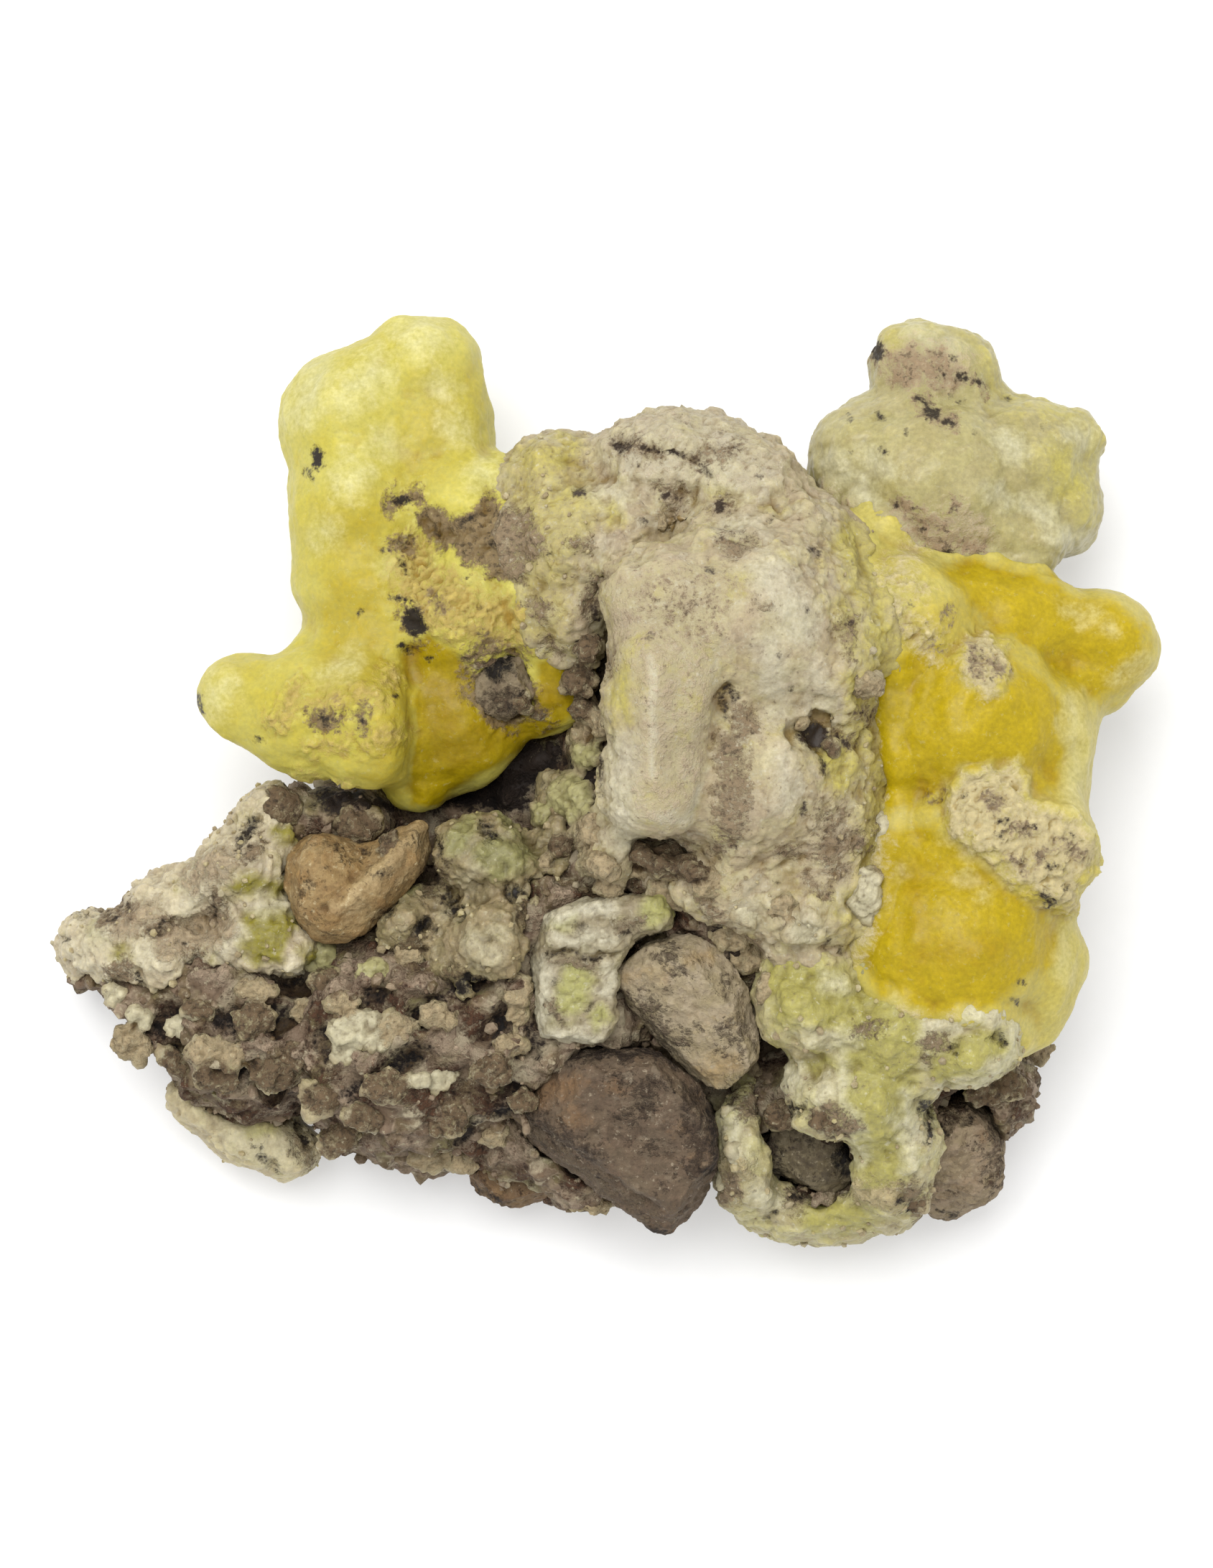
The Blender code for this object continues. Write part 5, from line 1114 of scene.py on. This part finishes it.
def set_knobs():
    """Sets the lumps on the solids, each sunk to half its height, and melts them into one piece."""
    bpy.ops.object.select_all(action="DESELECT")
    lumps, marks = [], {}
    for field, rows in KNOBS.items():
        marks[field] = []
        for x, y, half_x, half_y, turn, rise in rows:
            spot = Vector(((x + VIEW_SHIFT[0]) * MM, (y + VIEW_SHIFT[1]) * MM, 0.06))
            tops = [tree.ray_cast(spot, Vector((0, 0, -1)))[0] for tree in node_trees.values()]
            top = max((hit.z for hit in tops if hit is not None), default=0.004)
            tall = 0.8 * min(half_x, half_y) + rise
            middle_height = top - 0.15 * min(half_x, half_y) * MM
            bpy.ops.mesh.primitive_ico_sphere_add(subdivisions=3, radius=1.0, location=(spot.x, spot.y, middle_height),
                                                  rotation=(0.15 * half_x, 0.2 * half_y, math.radians(turn)))
            lump = bpy.context.active_object
            lump.scale = Vector((1.15 * half_x, 1.15 * half_y, tall)) * MM
            lumps.append(lump)
            along = np.array((math.cos(math.radians(turn)), math.sin(math.radians(turn)))) * max(half_x - half_y, 0)
            across = np.array((0.0, max(half_y - half_x, 0)))
            middle = np.array((x, y))
            ends = tuple(middle - along - across), tuple(middle + along + across)
            marks[field].append((2.2 * min(half_x, half_y), *ends))
    for lump in lumps:
        lump.select_set(True)
    bpy.context.view_layer.objects.active = lumps[0]
    bpy.ops.object.transform_apply(location=True, rotation=True, scale=True)
    bpy.ops.object.join()
    knobs = bpy.context.active_object
    knobs.name = "seam_knobs"
    even = knobs.modifiers.new("even mesh", "REMESH")
    even.mode = "VOXEL"
    even.voxel_size = 0.26 * MM
    apply_all(knobs)
    bpy.ops.object.shade_smooth()
    relief(knobs, 1.9, 1.5, noise_depth=2)
    pack_grains(knobs, 1.1, 0.35, 95, tilt=0.5)
    relief(knobs, 0.6, 0.35, noise_depth=2)
    find_hollows(knobs, 10, 0.3)
    for field, lines in marks.items():
        paint(knobs, field, lines, strength=0.8, soft=0.3, ragged=0.2)
    return knobs


knobs = set_knobs()
dress(knobs, [], mineral(
    "seam crust", "A89A76", "B2A582", "AEA874", "CAC2A2", "AC9A78", "6E5B44", "2E261D", "8E7E60",
    mottle_scale=650.0, grains=0.5, specks=0.6, flecks=0.5, smooth=0.5, rough=0.85, relief_height=0.14, glow=0.1))

# Loose-looking crumbs of broken rock and crust, cemented all over the breccia, along the seams between the growths
# and on the crusts. A few angular shapes are made once, and each crumb is a turned and sized copy of one.
def crumb_shapes(count):
    """Models a few angular crumbs and gives each one's corners and faces."""
    shapes = []
    draw = random.Random(5)
    for seed in range(count):
        bpy.ops.object.select_all(action="DESELECT")
        bpy.ops.mesh.primitive_ico_sphere_add(subdivisions=1, radius=1.0, location=(0, 0, 0))
        crumb = bpy.context.active_object
        bpy.ops.object.mode_set(mode="EDIT")
        bpy.ops.mesh.select_all(action="SELECT")
        bpy.ops.mesh.subdivide(number_cuts=1, fractal=0.6, seed=seed)
        for _ in range(4):
            away = Vector((draw.uniform(-1, 1), draw.uniform(-1, 1), draw.uniform(-1, 1))).normalized()
            bpy.ops.mesh.select_all(action="SELECT")
            bpy.ops.mesh.bisect(plane_co=away * draw.uniform(0.55, 0.8), plane_no=away, use_fill=True, clear_outer=True)
        bpy.ops.mesh.select_all(action="SELECT")
        bpy.ops.mesh.convex_hull()
        bpy.ops.object.mode_set(mode="OBJECT")
        corners = np.array([vertex.co[:] for vertex in crumb.data.vertices])
        shapes.append((corners, [tuple(face.vertices) for face in crumb.data.polygons]))
        bpy.data.objects.remove(crumb)
    return shapes


crumbs_made = crumb_shapes(7)


def strew(name, carriers, count, sizes, seed, wanted, sink):
    """Joins count crumbs into one piece, cemented on the carriers where wanted(places) allows."""
    draw = np.random.default_rng(seed)
    spots, ways = [], []
    for carrier in carriers:
        places, facings = shape_of(carrier)
        chosen = wanted(places)
        spots.append(places[chosen])
        ways.append(facings[chosen])
    spots, ways = np.concatenate(spots), np.concatenate(ways)
    picked = draw.choice(len(spots), count, replace=False)
    corners, faces, tones, sunk_shade = [], [], [], []
    for spot, way in zip(spots[picked], ways[picked]):
        shape, sides = crumbs_made[draw.integers(len(crumbs_made))]
        size = sizes[0] * (sizes[1] / sizes[0]) ** (draw.random() ** 1.8) / 2
        stretch = size * draw.uniform(0.65, 1.2, 3)
        turn = np.array(Euler(draw.uniform(0, 6.28, 3)).to_matrix())
        start = sum(len(part) for part in corners)
        body = (shape * stretch) @ turn.T
        corners.append(body + spot + way * size * (1 - 2 * sink))
        faces += [tuple(start + index for index in side) for side in sides]
        tones.append(np.full(len(shape), draw.random()))
        # Painted shade: each crumb is darker towards its buried underside.
        sunk_shade.append(np.clip(0.42 - 0.3 * (body @ way) / size, 0, 1))
    mesh = bpy.data.meshes.new(name)
    places = np.concatenate(corners)
    places[:, 2] = np.maximum(places[:, 2], 0.0)
    mesh.from_pydata((places * MM).tolist(), [], faces)
    piece = bpy.data.objects.new(name, mesh)
    bpy.context.scene.collection.objects.link(piece)
    store(piece, "tone", np.concatenate(tones))
    store(piece, "hollow_shade", np.concatenate(sunk_shade))
    return piece


skins = {piece["stands_for"]: piece for piece in bpy.data.objects if "stands_for" in piece}


def on_open_rock(places):
    """Says where rock crumbs may lie: over the lowest 1.5 mm and outside the dark hollow."""
    return (places[:, 2] > 1.5) & (depth_in(places[:, :2] - VIEW_SHIFT, DARK_HOLLOW) < -0.5)


def on_rough_crust(places):
    """Says where crust crumbs may lie: off the smooth slab and off the middle of the cream mass."""
    off_slab = depth_in(places[:, :2] - VIEW_SHIFT, SLAB) < -0.3
    return off_slab & ((places[:, 0] < -1) | (places[:, 0] > 16.5) | (places[:, 1] < -4))


rock_crumbs = strew("rock_crumbs", [matrix], 1300, (0.35, 1.3), 7, on_open_rock, sink=0.5)
dress(rock_crumbs, [], mineral(
    "loose breccia", *BRECCIA, mottle_scale=900.0, grains=1.0, specks=0.8, flecks=0.4, smooth=0.6, rough=0.85,
    relief_height=0.12))
CRUST_SKINS = [skins[name] for name in ("cream_crust", "green_crust", "middle_crust", "wing_crust", "tongue")]
crust_crumbs = strew("crust_crumbs", CRUST_SKINS, 600, (0.3, 0.8), 8, on_rough_crust, sink=0.45)
dress(crust_crumbs, [], mineral(
    "crumbled crust", "BEB088", "B0A278", "B8AE5C", "D0C8A8", "A69474", "7E6C54", "30261D", "94845E",
    mottle_scale=900.0, grains=0.8, specks=0.5, flecks=0.4, smooth=0.5, rough=0.85, relief_height=0.1, glow=0.1))

# A plain white floor that glows a little, so that it stays white around the shadow, a broad soft light from the
# upper left, and a long lens straight above the specimen.
FRAME_HEIGHT = 113.42 * MM   # how much of the scene the picture shows from top to bottom
DISTANCE = 1.0
RIM_HEIGHT = 0.012           # about how high the specimen's widest outline lies
bpy.ops.object.select_all(action="DESELECT")
bpy.ops.mesh.primitive_grid_add(x_subdivisions=4, y_subdivisions=4, size=3.0, location=(0, 0, 0))
floor = bpy.context.active_object
floor.name = "floor"
white = bpy.data.materials.new("white paper")
white.use_nodes = True
paper = white.node_tree
sheet = paper.nodes["Principled BSDF"].inputs
sheet["Roughness"].default_value = 0.9
sheet["Emission Color"].default_value = (1.0, 1.0, 1.0, 1.0)
sheet["Emission Strength"].default_value = 0.27
fibre = node(paper, "TexNoise", Vector=node(paper, "TexCoord").outputs["Object"], Scale=900.0, Detail=3.0)
tone = tinted(paper, fibre.outputs[0], shade("F6F6F5"), shade("FAFAFA"))
paper.links.new(tone, sheet["Base Color"])
floor.data.materials.append(white)

world = bpy.data.worlds.new("soft room")
bpy.context.scene.world = world
world.use_nodes = True
room = world.node_tree.nodes["Background"].inputs
room["Color"].default_value = (1.0, 1.0, 1.0, 1.0)
room["Strength"].default_value = 0.92
KEY_PLACE = (-0.12, 0.32, 1.0)
bpy.ops.object.light_add(type="AREA", location=KEY_PLACE)
key_light = bpy.context.active_object
key_light.name = "key light"
key_light.data.size = 0.6
key_light.data.energy = 10.0
key_light.rotation_euler = (-Vector(KEY_PLACE)).to_track_quat("-Z", "Y").to_euler()

lens = bpy.data.cameras.new("long lens")
lens.sensor_fit = "VERTICAL"
lens.sensor_height = 36.0
lens.lens = 36.0 * (DISTANCE - RIM_HEIGHT) / FRAME_HEIGHT
lens.clip_end = 10.0
camera = bpy.data.objects.new("camera", lens)
camera.location = (-0.00002, -0.00017, DISTANCE)
bpy.context.scene.collection.objects.link(camera)
bpy.context.scene.camera = camera
bpy.context.scene.view_settings.view_transform = "Standard"
